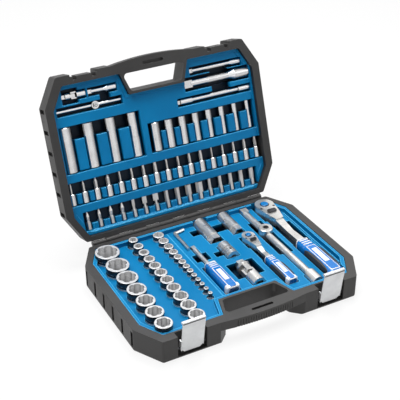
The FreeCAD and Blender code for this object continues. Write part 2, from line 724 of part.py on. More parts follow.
# Long tools lying in the base, each along Y
FACE_Z = 33.0
SPINNER = Grip(x=SPINNER_X, grip_y=7.0, end_y=-73.0, grip_w=27.0, grip_h=24.0, top_z=45.0)
SPINNER_TIP_Y = 69.0
SPINNER_TIP_L = 9.0
SPINNER_SHAFT_R = 4.2
TEE_Z = 33.0
TEE_L = 242.0
TEE_BACK_Y = MOUTH_BACK - 5.0
TEE_FRONT_Y = TEE_BACK_Y - TEE_L
TEE_R = 6.5
TEE_SLEEVE_R = 10.5
TEE_SLEEVE_L = 26.0
TEE_SLIDER_Y = 48.0
TEE_SLIDER_R = 12.5
TEE_SLIDER_LOW = 22.0
TEE_SLIDER_TOP = 45.0
TEE_TRAVEL_FRONT = 55.0
TEE_TRAVEL_BACK = 25.0
TEE_DIMPLE_R = 4.5
SPARK_BACK_Y = MOUTH_BACK - 2.0
SPARK_ASIDE = 2.5
SPARK = {"large": dict(x=JOINT_X - SPARK_ASIDE, back_y=SPARK_BACK_Y, front_y=64.0, body_r=12.5, size=21.0,
                       z=31.0),
         "small": dict(x=QUARTER_X - SPARK_ASIDE, back_y=SPARK_BACK_Y, front_y=70.0, body_r=11.0, size=16.0,
                       z=32.0)}
SPARK_HEX_L = 15.0
SPARK_HEX_SHARE = 1.7
SPARK_INSERT_L = 11.0
SPARK_INSERT_WALL = 2.0
ADAPTER_X = JOINT_X
ADAPTER_Z = 32.0
ADAPTER_BACK_Y = 49.0
ADAPTER_L = 37.0
ADAPTER_R = 11.5
ADAPTER_NECK_R = 9.0
ADAPTER_BIT = 10.0
JOINT_Y = -36.0
JOINT_Z = 31.0
KEY_X = SPINNER_X - 9.0
KEY_AF = 5.0
KEY_FRONT_Y = 64.0
KEY_BEND_Y = MOUTH_BACK - 15.0
KEY_SHORT = V(19.0, 4.0, 0)
KEY_BEND_R = KEY_AF * 0.53
BACKWARD = V(0, 1, 0)
FORWARD = V(0, -1, 0)


class Universal:
    """Sizes of one universal joint, along local X with the drive square at +X."""

    def __init__(self, body_r, drive, drive_reach, socket_reach):
        self.body_r = body_r
        self.drive = drive
        self.drive_reach = drive_reach
        self.socket_reach = socket_reach
        self.core = body_r * 0.5
        self.pin_r = body_r * 0.21
        self.ear_half = body_r * 0.39
        self.ear_in = self.core + FIT
        self.ear_out = body_r * 0.88
        self.ear_end = body_r * 0.45
        self.fork = body_r * 0.96


UNIVERSALS = {"half": Universal(body_r=12.0, drive=HALF_DRIVE, drive_reach=30.0, socket_reach=36.0),
              "quarter": Universal(body_r=6.6, drive=QUARTER_DRIVE, drive_reach=20.0, socket_reach=21.0)}


def placed(shape, origin, x_dir, up):
    """Copy of a locally built tool, set along a direction with its own up."""
    copy = shape.copy()
    copy.Placement = FreeCAD.Placement(origin, FreeCAD.Rotation(x_dir, up.cross(x_dir), up, "XYZ"))
    return copy


def universal_drive(u):
    """Forked yoke with the male square; its fork pins stand along local Z."""
    pieces = [square_bar(u.drive, V(u.fork, 0, 0), V(u.drive_reach, 0, 0)),
              rod(u.body_r, V(u.fork, 0, 0), V(u.drive_reach - u.drive, 0, 0))]
    for side in (-1, 1):
        zs = sorted((side * u.ear_in, side * u.ear_out))
        pieces.append(box(-u.ear_end, u.fork + FIT, -u.ear_half, u.ear_half, zs[0], zs[1]))
    bore = rod(u.pin_r + PIN_CLEAR, V(0, 0, -u.body_r), V(0, 0, u.body_r))
    return carve(join(pieces), [bore])


def universal_cross(u):
    """Centre block with its two crossed pins."""
    core = box(-u.core, u.core, -u.core, u.core, -u.core, u.core)
    return join([core, rod(u.pin_r, V(0, -u.ear_out, 0), V(0, u.ear_out, 0)),
                 rod(u.pin_r, V(0, 0, -u.ear_out), V(0, 0, u.ear_out))])


def universal_socket(u):
    """Forked yoke with the female square; its fork pins lie along local Y."""
    pieces = [rod(u.body_r, V(-u.socket_reach, 0, 0), V(-u.fork, 0, 0))]
    for side in (-1, 1):
        ys = sorted((side * u.ear_in, side * u.ear_out))
        pieces.append(box(-u.fork - FIT, u.ear_end, ys[0], ys[1], -u.ear_half, u.ear_half))
    bore = rod(u.pin_r + PIN_CLEAR, V(0, -u.body_r, 0), V(0, u.body_r, 0))
    hole = square_bar(u.drive + DRIVE_PLAY, V(-u.socket_reach, 0, 0), V(-u.fork - u.core, 0, 0))
    return carve(join(pieces), [bore, hole])


def spinner_shaft():
    """Screwdriver-style driver: round shaft with a male square."""
    g = SPINNER
    z = g.grip_top - g.grip_h / 2
    tip = square_bar(QUARTER_DRIVE, V(g.x, SPINNER_TIP_Y - SPINNER_TIP_L, z), V(g.x, SPINNER_TIP_Y, z))
    shaft_end = V(g.x, SPINNER_TIP_Y - SPINNER_TIP_L, z)
    return join([tip, rod(SPINNER_SHAFT_R, V(g.x, g.grip_y - TANG, z), shaft_end)])


def spinner_grip():
    """Grip of the driver, with a square hole in its end for a ratchet."""
    g = SPINNER
    z = g.grip_top - g.grip_h / 2
    tang = rod(SPINNER_SHAFT_R, V(g.x, g.grip_y - TANG, z), V(g.x, g.grip_y, z))
    end_hole = square_bar(QUARTER_DRIVE + DRIVE_PLAY, V(g.x, g.end_y, z),
                          V(g.x, g.end_y + SPINNER_TIP_L, z))
    return carve(grip_blank(g), [tang, end_hole] + grip_inlays(g))


def tee_bar():
    """Long extension bar that doubles as a tee handle."""
    square_y = TEE_BACK_Y - HALF_DRIVE
    sleeve_y = TEE_FRONT_Y + TEE_SLEEVE_L
    pieces = [square_bar(HALF_DRIVE, V(TEE_X, square_y, TEE_Z), V(TEE_X, TEE_BACK_Y, TEE_Z)),
              rod(TEE_R, V(TEE_X, sleeve_y - FIT, TEE_Z), V(TEE_X, square_y, TEE_Z)),
              rod(TEE_SLEEVE_R, V(TEE_X, TEE_FRONT_Y, TEE_Z), V(TEE_X, sleeve_y, TEE_Z))]
    hole = square_bar(HALF_DRIVE + DRIVE_PLAY, V(TEE_X, TEE_FRONT_Y, TEE_Z),
                      V(TEE_X, TEE_FRONT_Y + HALF_DRIVE, TEE_Z))
    return carve(join(pieces), [hole])


def tee_slider():
    """Sliding tee head on the bar, its drive square pointing down."""
    place = V(TEE_X, TEE_SLIDER_Y, 0)
    head = rod(TEE_SLIDER_R, place + V(0, 0, TEE_SLIDER_LOW), place + V(0, 0, TEE_SLIDER_TOP))
    head = head.makeChamfer(SOCKET_CHAMFER * 2, [e for e in head.Edges if e.Closed])
    square = square_bar(HALF_DRIVE, place + V(0, 0, TEE_SLIDER_LOW - HALF_DRIVE),
                        place + V(0, 0, TEE_SLIDER_LOW))
    bore = rod(TEE_R + PIN_CLEAR, V(TEE_X, TEE_SLIDER_Y - TEE_SLIDER_R, TEE_Z),
               V(TEE_X, TEE_SLIDER_Y + TEE_SLIDER_R, TEE_Z))
    dimple = rod(TEE_DIMPLE_R, place + V(0, 0, TEE_SLIDER_TOP - BUTTON_TRAVEL),
                 place + V(0, 0, TEE_SLIDER_TOP))
    return carve(join([head, square]), [bore, dimple])


def spark_socket(x, back_y, front_y, body_r, size, z):
    """Long spark plug socket with an outside hex at its mouth."""
    hex_y = front_y + SPARK_HEX_L
    body = join([rod(body_r, V(x, hex_y - FIT, z), V(x, back_y, z)),
                 polygon_bar(6, body_r * SPARK_HEX_SHARE, V(x, front_y, z), V(x, hex_y, z))])
    deep = hex_y + SPARK_INSERT_L * 2
    cutters = [polygon_bar(6, size, V(x, front_y, z), V(x, hex_y, z)),
               rod(size / 2, V(x, hex_y - FIT, z), V(x, deep, z)),
               square_bar(HALF_DRIVE + DRIVE_PLAY, V(x, back_y - HALF_DRIVE, z), V(x, back_y, z))]
    return carve(body, cutters)


def spark_insert(x, back_y, front_y, body_r, size, z):
    """Rubber ring that holds the plug inside its socket."""
    start = front_y + SPARK_HEX_L + SPARK_INSERT_L / 2
    outer = size / 2 - PIN_CLEAR
    ring = rod(outer, V(x, start, z), V(x, start + SPARK_INSERT_L, z))
    return ring.cut(rod(outer - SPARK_INSERT_WALL, V(x, start, z), V(x, start + SPARK_INSERT_L, z)))


def bit_adapter():
    """Square drive adapter with a hex hole for bits and a groove round its middle."""
    y0, y1 = ADAPTER_BACK_Y - ADAPTER_L, ADAPTER_BACK_Y
    neck0, neck1 = y0 + ADAPTER_L * 0.52, y0 + ADAPTER_L * 0.6
    pieces = [rod(ADAPTER_R, V(ADAPTER_X, y0, ADAPTER_Z), V(ADAPTER_X, neck0, ADAPTER_Z)),
              rod(ADAPTER_NECK_R, V(ADAPTER_X, y0 + FIT, ADAPTER_Z), V(ADAPTER_X, y1 - FIT, ADAPTER_Z)),
              rod(ADAPTER_R * 0.96, V(ADAPTER_X, neck1, ADAPTER_Z), V(ADAPTER_X, y1, ADAPTER_Z))]
    side_y = y0 + ADAPTER_L * 0.3
    cutters = [polygon_bar(6, ADAPTER_BIT, V(ADAPTER_X, y0, ADAPTER_Z), V(ADAPTER_X, neck0, ADAPTER_Z)),
               square_bar(HALF_DRIVE, V(ADAPTER_X, neck1, ADAPTER_Z), V(ADAPTER_X, y1, ADAPTER_Z)),
               rod(ADAPTER_R * 0.2, V(ADAPTER_X, side_y, ADAPTER_Z),
                   V(ADAPTER_X, side_y, ADAPTER_Z + ADAPTER_R))]
    return carve(join(pieces), cutters)


def hex_key():
    """Bent hexagon key lying on the tray face."""
    z = FACE_Z + KEY_AF / 2 / math.cos(math.pi / 6) + FIT / 2
    bend = V(KEY_X, KEY_BEND_Y, z)
    long_leg = polygon_bar(6, KEY_AF, V(KEY_X, KEY_FRONT_Y, z), bend, 30.0)
    short_leg = polygon_bar(6, KEY_AF, bend, bend + KEY_SHORT, 30.0)
    return join([long_leg, Part.makeSphere(KEY_BEND_R, bend), short_leg])


# Tools in the lid, by place across, distance from the hinge and depth below the rim
DEEP_SIZES = [17, 15, 14, 13]
DEEP_FIRST_X = -MOUTH_X + 17.0
DEEP_PITCH = 40.5
DEEP_X = [DEEP_FIRST_X + DEEP_PITCH * i for i in range(len(DEEP_SIZES))]
DEEP_L = 77.0
DEEP_FOOT_S = 124.0
DEEP_FLOOR = 31.8
DEEP_SLIM_FIRST_X = DEEP_X[-1] + 37.0
DEEP_SLIM_LAST_X = MOUTH_X - 11.5
DEEP_SLIM_SIZES = [13, 12, 11, 10, 9, 8, 7, 6]
DEEP_SLIM_L = 50.0
DEEP_SLIM_FOOT_S = 125.0
DEEP_SLIM_FLOOR = 26.0
BIT_SOCKET_COUNT = 17
BIT_SOCKET_FIRST_X = -MOUTH_X + 8.0
BIT_SOCKET_LAST_X = MOUTH_X - 7.5
BIT_SOCKET_S = 69.0
BIT_SOCKET_R = 6.25
BIT_SOCKET_L = 20.0
BIT_BLADE_L = 18.0
BIT_SOCKET_FLOOR = 23.0
BIT_BLADES = [(3.2, 0.3), (4.5, 0.3), (6.0, 0.35), (6.5, 0.35), (3.5, 0.8), (4.0, 1.0), (5.0, 1.0),
              (6.0, 1.0), (3.4, 1.0), (4.2, 1.0), (4.8, 1.0), (5.6, 1.0), (2.8, 1.0), (3.4, 1.0),
              (4.0, 1.0), (4.6, 1.0), (5.4, 1.0)]
BIT_COUNT = 16
BIT_FIRST_X = -MOUTH_X + 27.0
BIT_LAST_X = MOUTH_X - 25.5
BIT_S = 22.0
BIT_AF = 8.0
BIT_SHANK_L = 13.0
BIT_L = 31.0
BIT_FLOOR = 21.0
BIT_TIPS = [("cross", 7.2), ("cross", 7.2), ("cross", 7.8), ("cross", 7.8), ("flat", 5.0), ("flat", 8.0),
            ("flat", 10.0), ("hex", 7.0), ("hex", 8.0), ("hex", 10.0), ("hex", 12.0), ("star", 6.0),
            ("star", 7.0), ("star", 8.0), ("star", 9.0), ("star", 10.0)]
SMALL_FLOOR = 24.0
SHORT_X = -MOUTH_X + 67.0
SHORT_L = 50.0
MEDIUM_END_X = MOUTH_X - 17.0
MEDIUM_BAR_L = 100.0
LONG_END_X = MOUTH_X - 5.0
LONG_L = 125.0
EXTENSIONS = {"short": dict(x0=SHORT_X, x1=SHORT_X + SHORT_L, s=250.0, shaft_r=4.1, sleeve_r=6.2,
                            drive=QUARTER_DRIVE),
              "medium": dict(x0=MEDIUM_END_X - MEDIUM_BAR_L, x1=MEDIUM_END_X, s=247.0, shaft_r=4.1,
                             sleeve_r=6.2, drive=QUARTER_DRIVE),
              "long": dict(x0=LONG_END_X - LONG_L, x1=LONG_END_X, s=226.0, shaft_r=7.0, sleeve_r=11.0,
                           drive=HALF_DRIVE)}
FLEX_L = 143.0
FLEX_X1 = MOUTH_X - 5.0
FLEX_X0 = FLEX_X1 - FLEX_L
FLEX_S = 198.0
FLEX_R = 4.4
FLEX_END_R = 6.3
FLEX_END_L = 22.0
SMALL_TEE_L = 115.0
SMALL_TEE_X0 = -MOUTH_X + 8.0
SMALL_TEE_X1 = SMALL_TEE_X0 + SMALL_TEE_L
SMALL_TEE_S = 227.0
SMALL_TEE_R = 3.2
SMALL_TEE_SLIDER_X = SMALL_TEE_X0 + 68.0
SMALL_TEE_SLIDER_R = 6.5
SMALL_TEE_TRAVEL = 26.0
SMALL_JOINT_X = -MOUTH_X + 41.0
SMALL_JOINT_S = 250.0
LID_INWARD = V(0, 0, -1)


def lid_point(x, s, depth):
    """Point in the closed lid, from the hinge outwards and from the rim inwards."""
    return V(x, HINGE_Y - s, lid_z(depth))


def even(first, last, count):
    """Equally spaced places from first to last."""
    return [first + (last - first) * i / (count - 1) for i in range(count)]


def deep_sockets():
    """Four long sockets with the larger drive, mouths away from the hinge."""
    made = []
    for x, size in zip(DEEP_X, DEEP_SIZES):
        od = medium_od(size)
        foot = lid_point(x, DEEP_FOOT_S, DEEP_FLOOR - FIT - max(od, MEDIUM_FOOT_OD) / 2)
        made.append(socket(od, MEDIUM_FOOT_OD, DEEP_L, size, HALF_DRIVE, foot, FORWARD))
    return made


def deep_slim_sockets():
    """Eight long sockets with the smaller drive."""
    made = []
    for x, size in zip(even(DEEP_SLIM_FIRST_X, DEEP_SLIM_LAST_X, len(DEEP_SLIM_SIZES)), DEEP_SLIM_SIZES):
        od = small_od(size)
        foot = lid_point(x, DEEP_SLIM_FOOT_S, DEEP_SLIM_FLOOR - FIT - max(od, SMALL_FOOT_OD) / 2)
        made.append(socket(od, SMALL_FOOT_OD, DEEP_SLIM_L, size, QUARTER_DRIVE, foot, FORWARD))
    return made


def bit_sockets():
    """Bit holders with the smaller drive, each with its blade as a separate piece."""
    bodies, blades = [], []
    depth = BIT_SOCKET_FLOOR - FIT - BIT_SOCKET_R
    places = even(BIT_SOCKET_FIRST_X, BIT_SOCKET_LAST_X, BIT_SOCKET_COUNT)
    for x, (across, tip) in zip(places, BIT_BLADES):
        foot = lid_point(x, BIT_SOCKET_S, depth)
        end = lid_point(x, BIT_SOCKET_S + BIT_SOCKET_L, depth)
        seat = end - FORWARD * QUARTER_DRIVE
        blade = polygon_bar(6, across, seat, end + FORWARD * (BIT_BLADE_L * 0.7))
        nose_end = end + FORWARD * BIT_BLADE_L
        nose_start = end + FORWARD * (BIT_BLADE_L * 0.7 - FIT)
        nose = taper(across / 2, across / 2 * tip * 0.9, nose_start, nose_end)
        body = rod(BIT_SOCKET_R, foot, end)
        body = body.makeChamfer(SOCKET_CHAMFER, [e for e in body.Edges if e.Closed])
        square = square_bar(QUARTER_DRIVE + DRIVE_PLAY, foot, foot + FORWARD * QUARTER_DRIVE)
        blades.append(join([blade, nose]))
        bodies.append(carve(body, [square, polygon_bar(6, across, seat, end)]))
    return bodies, blades


def bit(x, kind, across):
    """Loose screwdriver bit: hex shank, waist and a tip of its kind."""
    widest = BIT_AF if kind == "flat" else max(BIT_AF, across)
    depth = BIT_FLOOR - FIT - widest / 2 / math.cos(math.pi / 6)
    foot = lid_point(x, BIT_S, depth)
    waist = foot + FORWARD * BIT_SHANK_L
    end = foot + FORWARD * BIT_L
    shank_bar = polygon_bar(6, BIT_AF, foot, waist)
    if kind == "hex":
        return join([shank_bar, polygon_bar(6, across, waist - FORWARD * FIT, end)])
    if kind == "star":
        return join([shank_bar, polygon_bar(12, across, waist - FORWARD * FIT, end)])
    if kind == "flat":
        neck = rod(BIT_AF * 0.3, waist - FORWARD * FIT, waist + FORWARD * (BIT_L - BIT_SHANK_L) * 0.4)
        blade = box(x - across / 2, x + across / 2, end.y, waist.y - (BIT_L - BIT_SHANK_L) * 0.3,
                    waist.z - BIT_AF * 0.14, waist.z + BIT_AF * 0.14)
        return join([shank_bar, neck, blade])
    bulge = foot + FORWARD * (BIT_L * 0.72)
    tip = join([taper(BIT_AF * 0.34, across / 2, waist - FORWARD * FIT, bulge),
                taper(across / 2, across * 0.14, bulge - FORWARD * FIT, end)])
    return join([shank_bar, tip])


def bits():
    """One row of loose bits along the hinge side of the lid."""
    places = even(BIT_FIRST_X, BIT_LAST_X, BIT_COUNT)
    return [bit(x, kind, across) for x, (kind, across) in zip(places, BIT_TIPS)]


def extension(x0, x1, s, shaft_r, sleeve_r, drive):
    """Extension bar: male square, shaft and a sleeve with a square hole."""
    depth = SMALL_FLOOR + (sleeve_r if drive == HALF_DRIVE else 0) / 2 - FIT - sleeve_r
    start, end = lid_point(x0, s, depth), lid_point(x1, s, depth)
    sleeve = end - X_AXIS * (sleeve_r * 2.4)
    pieces = [square_bar(drive, start, start + X_AXIS * drive * 1.2),
              rod(shaft_r, start + X_AXIS * drive, sleeve + X_AXIS * FIT), rod(sleeve_r, sleeve, end),
              taper(shaft_r, sleeve_r, sleeve - X_AXIS * sleeve_r, sleeve + X_AXIS * FIT)]
    return carve(join(pieces), [square_bar(drive + DRIVE_PLAY, end - X_AXIS * drive, end)])


def flex_ends():
    """Chromed ends of the flexible extension: a male square and a female sleeve."""
    depth = SMALL_FLOOR - FIT - FLEX_END_R
    start, end = lid_point(FLEX_X0, FLEX_S, depth), lid_point(FLEX_X1, FLEX_S, depth)
    core0, core1 = start + X_AXIS * (QUARTER_DRIVE + FLEX_END_L), end - X_AXIS * FLEX_END_L
    seat = X_AXIS * QUARTER_DRIVE
    drive_end = join([square_bar(QUARTER_DRIVE, start, start + X_AXIS * (QUARTER_DRIVE + FIT)),
                      rod(FLEX_END_R, start + X_AXIS * QUARTER_DRIVE, core0)])
    sleeve = rod(FLEX_END_R, core1, end)
    return [carve(drive_end, [rod(FLEX_R, core0 - seat, core0)]),
            carve(sleeve, [rod(FLEX_R, core1, core1 + seat),
                           square_bar(QUARTER_DRIVE + DRIVE_PLAY, end - seat, end)])]


def flex_core():
    """Flexible shaft held in both ends of the flexible extension."""
    depth = SMALL_FLOOR - FIT - FLEX_END_R
    reach = FLEX_END_L - QUARTER_DRIVE
    return rod(FLEX_R, lid_point(FLEX_X0 + FLEX_END_L, FLEX_S, depth),
               lid_point(FLEX_X1 - reach, FLEX_S, depth))


def small_tee_depth():
    """Depth of the small tee bar's axis."""
    return SMALL_FLOOR - FIT - SMALL_TEE_SLIDER_R


def small_tee_bar():
    """Plain round bar of the small sliding tee handle."""
    depth = small_tee_depth()
    return rod(SMALL_TEE_R, lid_point(SMALL_TEE_X0, SMALL_TEE_S, depth),
               lid_point(SMALL_TEE_X1, SMALL_TEE_S, depth))


def small_tee_slider():
    """Sliding head of the small tee, its square pointing out of the tray."""
    depth = small_tee_depth()
    centre = lid_point(SMALL_TEE_SLIDER_X, SMALL_TEE_S, depth)
    reach = SMALL_TEE_SLIDER_R
    head = rod(reach, centre - LID_INWARD * reach, centre + LID_INWARD * reach * 0.8)
    square = square_bar(QUARTER_DRIVE, centre + LID_INWARD * reach * 0.7, centre + LID_INWARD * reach * 1.3)
    bore = rod(SMALL_TEE_R + PIN_CLEAR, centre - X_AXIS * reach * 2, centre + X_AXIS * reach * 2)
    return carve(join([head, square]), [bore])


def joint_origin(name):
    """Centre of a universal joint, in the base or in the closed lid."""
    if name == "half":
        return V(JOINT_X, JOINT_Y, JOINT_Z)
    return lid_point(SMALL_JOINT_X, SMALL_JOINT_S, SMALL_FLOOR - FIT - UNIVERSALS[name].body_r)


# Trays
TRAY_T = 1.8
WELL_SLOT = 0.6
LIP_W = 5.0
LIP_DOWN = 1.0
LID_LIP_DOWN = LARGE_TOP - BASE_H + FIT
BASE_FACE = BASE_H - FACE_Z
LID_FACE = 9.0
POCKET_ROOM = 1.2
FINGER_DEEP = 27.0
RIDGE_W = 1.8
RIDGE_H = 2.2
RIDGE_PITCH = 5.5
DIVIDER_TOP = 11.0
DIVIDER_ROOM = 0.8
SWING_DEG = 25.0
SMALL_SWING_DEG = 15.0


class Tray:
    """A moulded tray, worked out by depth below its case half's rim."""

    def __init__(self, face, floor, lip, z_of):
        self.face = face
        self.floor = floor
        self.lip = lip
        self.z_of = z_of
        self.pockets = []
        self.cups = []
        self.wells = []
        self.blocks = []

    def layer(self, depth_a, depth_b, inset):
        """Slice of the tray's outline between two depths."""
        z0, z1 = sorted((self.z_of(depth_a), self.z_of(depth_b)))
        return mouth(z0, z1, TRAY_FIT + inset)

    def slab(self, x0, x1, y0, y1, depth_a, depth_b):
        """Block between two depths."""
        z0, z1 = sorted((self.z_of(depth_a), self.z_of(depth_b)))
        return box(x0, x1, y0, y1, z0, z1)

    def pocket(self, x0, x1, y0, y1, depth):
        """Square-cornered pocket, with the cup that walls it."""
        t = TRAY_T
        self.pockets.append(self.slab(x0, x1, y0, y1, 0, depth))
        self.cups.append(self.slab(x0 - t, x1 + t, y0 - t, y1 + t, self.face, min(depth + t, self.floor)))

    def well(self, x, y, radius, depth, y0, y1):
        """Hole for an upright socket, and the cup under it, cut off flat towards its neighbours."""
        top = self.face + TRAY_T
        bottom = min(depth + TRAY_T, self.floor)
        bore = rod(radius, V(x, y, self.z_of(0)), V(x, y, self.z_of(depth)))
        self.pockets.append(bore)
        wall = radius + TRAY_T
        cup = rod(wall, V(x, y, self.z_of(top)), V(x, y, self.z_of(bottom)))
        room = self.slab(x - wall, x + wall, y0 + WELL_SLOT, y1 - WELL_SLOT, top, bottom)
        cup = cup.common(room).common(self.layer(top, bottom, TRAY_T))
        self.wells.append(carve(cup, [bore]))

    def block(self, x0, x1, y0, y1, top, bottom):
        """Raised block between tools, or a ridge on the face."""
        self.blocks.append(self.slab(x0, x1, y0, y1, top, bottom))

    def rim(self):
        """Raised edge and skirt, open where a pocket runs into them."""
        lip = carve(self.layer(self.lip, self.face, 0), [self.layer(self.lip, self.face, LIP_W)])
        skirt = carve(self.layer(self.face, self.floor, 0), [self.layer(self.face, self.floor, TRAY_T)])
        return carve(join([lip, skirt]), self.pockets)

    def bed(self):
        """Face inside the skirt, with the pockets' cups and the raised blocks."""
        plate = self.layer(self.face, self.face + TRAY_T, TRAY_T)
        cups = join(self.cups).common(self.layer(self.face, self.floor, TRAY_T))
        return join([carve(join([plate, cups]), self.pockets)] + self.blocks)


def tool_pocket(tray, x, y0, y1, radius, z):
    """Pocket round a bar that lies along Y in the base."""
    room = radius + POCKET_ROOM
    tray.pocket(x - room, x + room, y0 - POCKET_ROOM, y1 + POCKET_ROOM, BASE_H - z + radius + FIT)


def grip_pocket(tray, g):
    """Pocket under a handle grip, which rests on its floor."""
    half = g.grip_w / 2 + POCKET_ROOM
    tray.pocket(g.x - half, g.x + half, g.end_y - POCKET_ROOM, g.grip_y + POCKET_ROOM, BASE_H - g.grip_low)


def ratchet_pocket(tray, r):
    """Pockets under a ratchet's head, shank and grip."""
    half = r.head_r + POCKET_ROOM
    back = r.head_y + r.head_r + FIT * 2
    depth = BASE_H - r.head_z + r.drive + FIT * 3
    tray.pocket(r.x - half, r.x + half, r.head_y - r.head_r * 2, back, depth)
    reach = r.neck_w
    tray.pocket(r.x - reach, r.x + reach, r.grip_y, r.head_y - r.head_r, FINGER_DEEP)
    grip_pocket(tray, r)


def base_tray():
    """Blue tray of the base: socket wells on the left, tool pockets on the right."""
    tray = Tray(BASE_FACE, BASE_H - FLOOR_T, LIP_DOWN, lambda depth: BASE_H - depth)
    for row in (large_row(), medium_row(), small_row()):
        backs = [foot.y + width / 2 for made, width, foot in row]
        fronts = [foot.y - width / 2 for made, width, foot in row]
        cuts = [(front + back) / 2 for front, back in zip([MOUTH_BACK] + fronts, backs + [MOUTH_FRONT])]
        for (made, width, foot), y1, y0 in zip(row, cuts, cuts[1:]):
            tray.well(foot.x, foot.y, width / 2 + FIT, BASE_H - foot.z, y0, y1)
    for r in RATCHETS.values():
        ratchet_pocket(tray, r)
    half = RATCHETS["half"]
    side = half.x + half.head_r + POCKET_ROOM
    tray.pocket(half.x, side + TRAY_T, half.grip_y, half.neck_y, FINGER_DEEP)
    grip_pocket(tray, SPINNER)
    spinner_z = SPINNER.grip_top - SPINNER.grip_h / 2
    tool_pocket(tray, SPINNER.x, SPINNER.grip_y, SPINNER_TIP_Y, SPINNER_SHAFT_R, spinner_z)
    finger = SPINNER.grip_w / 2
    mid_y = (SPINNER.grip_y + SPINNER_TIP_Y) / 2
    tray.pocket(SPINNER.x - finger, SPINNER.x + finger, mid_y - finger, mid_y + finger * 0.6, FINGER_DEEP)
    tool_pocket(tray, TEE_X, TEE_FRONT_Y, TEE_BACK_Y, TEE_R, TEE_Z)
    tool_pocket(tray, TEE_X, TEE_FRONT_Y, TEE_FRONT_Y + TEE_SLEEVE_L, TEE_SLEEVE_R, TEE_Z)
    room = TEE_SLIDER_R + POCKET_ROOM
    tray.pocket(TEE_X - room, TEE_X + room, TEE_SLIDER_Y - TEE_TRAVEL_FRONT - room,
                TEE_SLIDER_Y + TEE_TRAVEL_BACK + room, BASE_H - TEE_SLIDER_LOW + HALF_DRIVE + FIT)
    for s in SPARK.values():
        tool_pocket(tray, s["x"], s["front_y"], s["back_y"], s["body_r"], s["z"])
    large, small = SPARK["large"], SPARK["small"]
    mid_y = (large["front_y"] + large["back_y"]) / 2
    tray.pocket(large["x"], small["x"], mid_y - finger * 0.6, mid_y + finger, FINGER_DEEP)
    side_x = large["x"] - large["body_r"] - finger * 1.2
    tray.pocket(side_x, large["x"], mid_y, mid_y + finger * 1.2, FINGER_DEEP)
    tool_pocket(tray, ADAPTER_X, ADAPTER_BACK_Y - ADAPTER_L, ADAPTER_BACK_Y, ADAPTER_R, ADAPTER_Z)
    mid_y = ADAPTER_BACK_Y - ADAPTER_L / 2
    side_x = ADAPTER_X - ADAPTER_R - finger
    tray.pocket(side_x, ADAPTER_X, mid_y - finger / 2, mid_y + finger / 2, FINGER_DEEP)
    u = UNIVERSALS["half"]
    tool_pocket(tray, JOINT_X, JOINT_Y - u.socket_reach, JOINT_Y, u.body_r, JOINT_Z)
    turn = math.radians(SWING_DEG)
    swing = u.drive_reach * math.sin(turn) + u.body_r * math.cos(turn) + POCKET_ROOM
    tray.pocket(JOINT_X - swing, JOINT_X + swing, JOINT_Y - u.body_r, JOINT_Y + u.drive_reach + POCKET_ROOM,
                BASE_H - JOINT_Z + u.body_r + FIT)
    for i in range(2):
        x = side + TRAY_T * 2 + i * RIDGE_PITCH
        tray.block(x, x + RIDGE_W, half.end_y + CORNER_X, half.neck_y + CORNER_Y / 2,
                   BASE_FACE - RIDGE_H, BASE_FACE + FIT)
    return tray


def base_beds(tray):
    """The base tray's face in two: the part with the sockets' holes and the part with the tools' pockets."""
    bed = tray.bed()
    parting_x = (SMALL_X + SPINNER_X) / 2
    return [bed.common(box(-CASE_W, parting_x, -CASE_D, CASE_D, 0, BASE_H)),
            bed.common(box(parting_x, CASE_W, -CASE_D, CASE_D, 0, BASE_H))]


def lid_pocket(tray, x0, x1, s0, s1, depth):
    """Pocket in the lid's tray, by distance from the hinge."""
    tray.pocket(x0 - POCKET_ROOM, x1 + POCKET_ROOM, HINGE_Y - s1 - POCKET_ROOM,
                HINGE_Y - s0 + POCKET_ROOM, depth)


def dividers(tray, places, widths, s0, s1, floor):
    """Raised blocks between the neighbours of a row."""
    for i in range(len(places) - 1):
        x0 = places[i] + widths[i] / 2 + DIVIDER_ROOM
        x1 = places[i + 1] - widths[i + 1] / 2 - DIVIDER_ROOM
        tray.block(x0, x1, HINGE_Y - s1, HINGE_Y - s0, DIVIDER_TOP, floor + FIT)


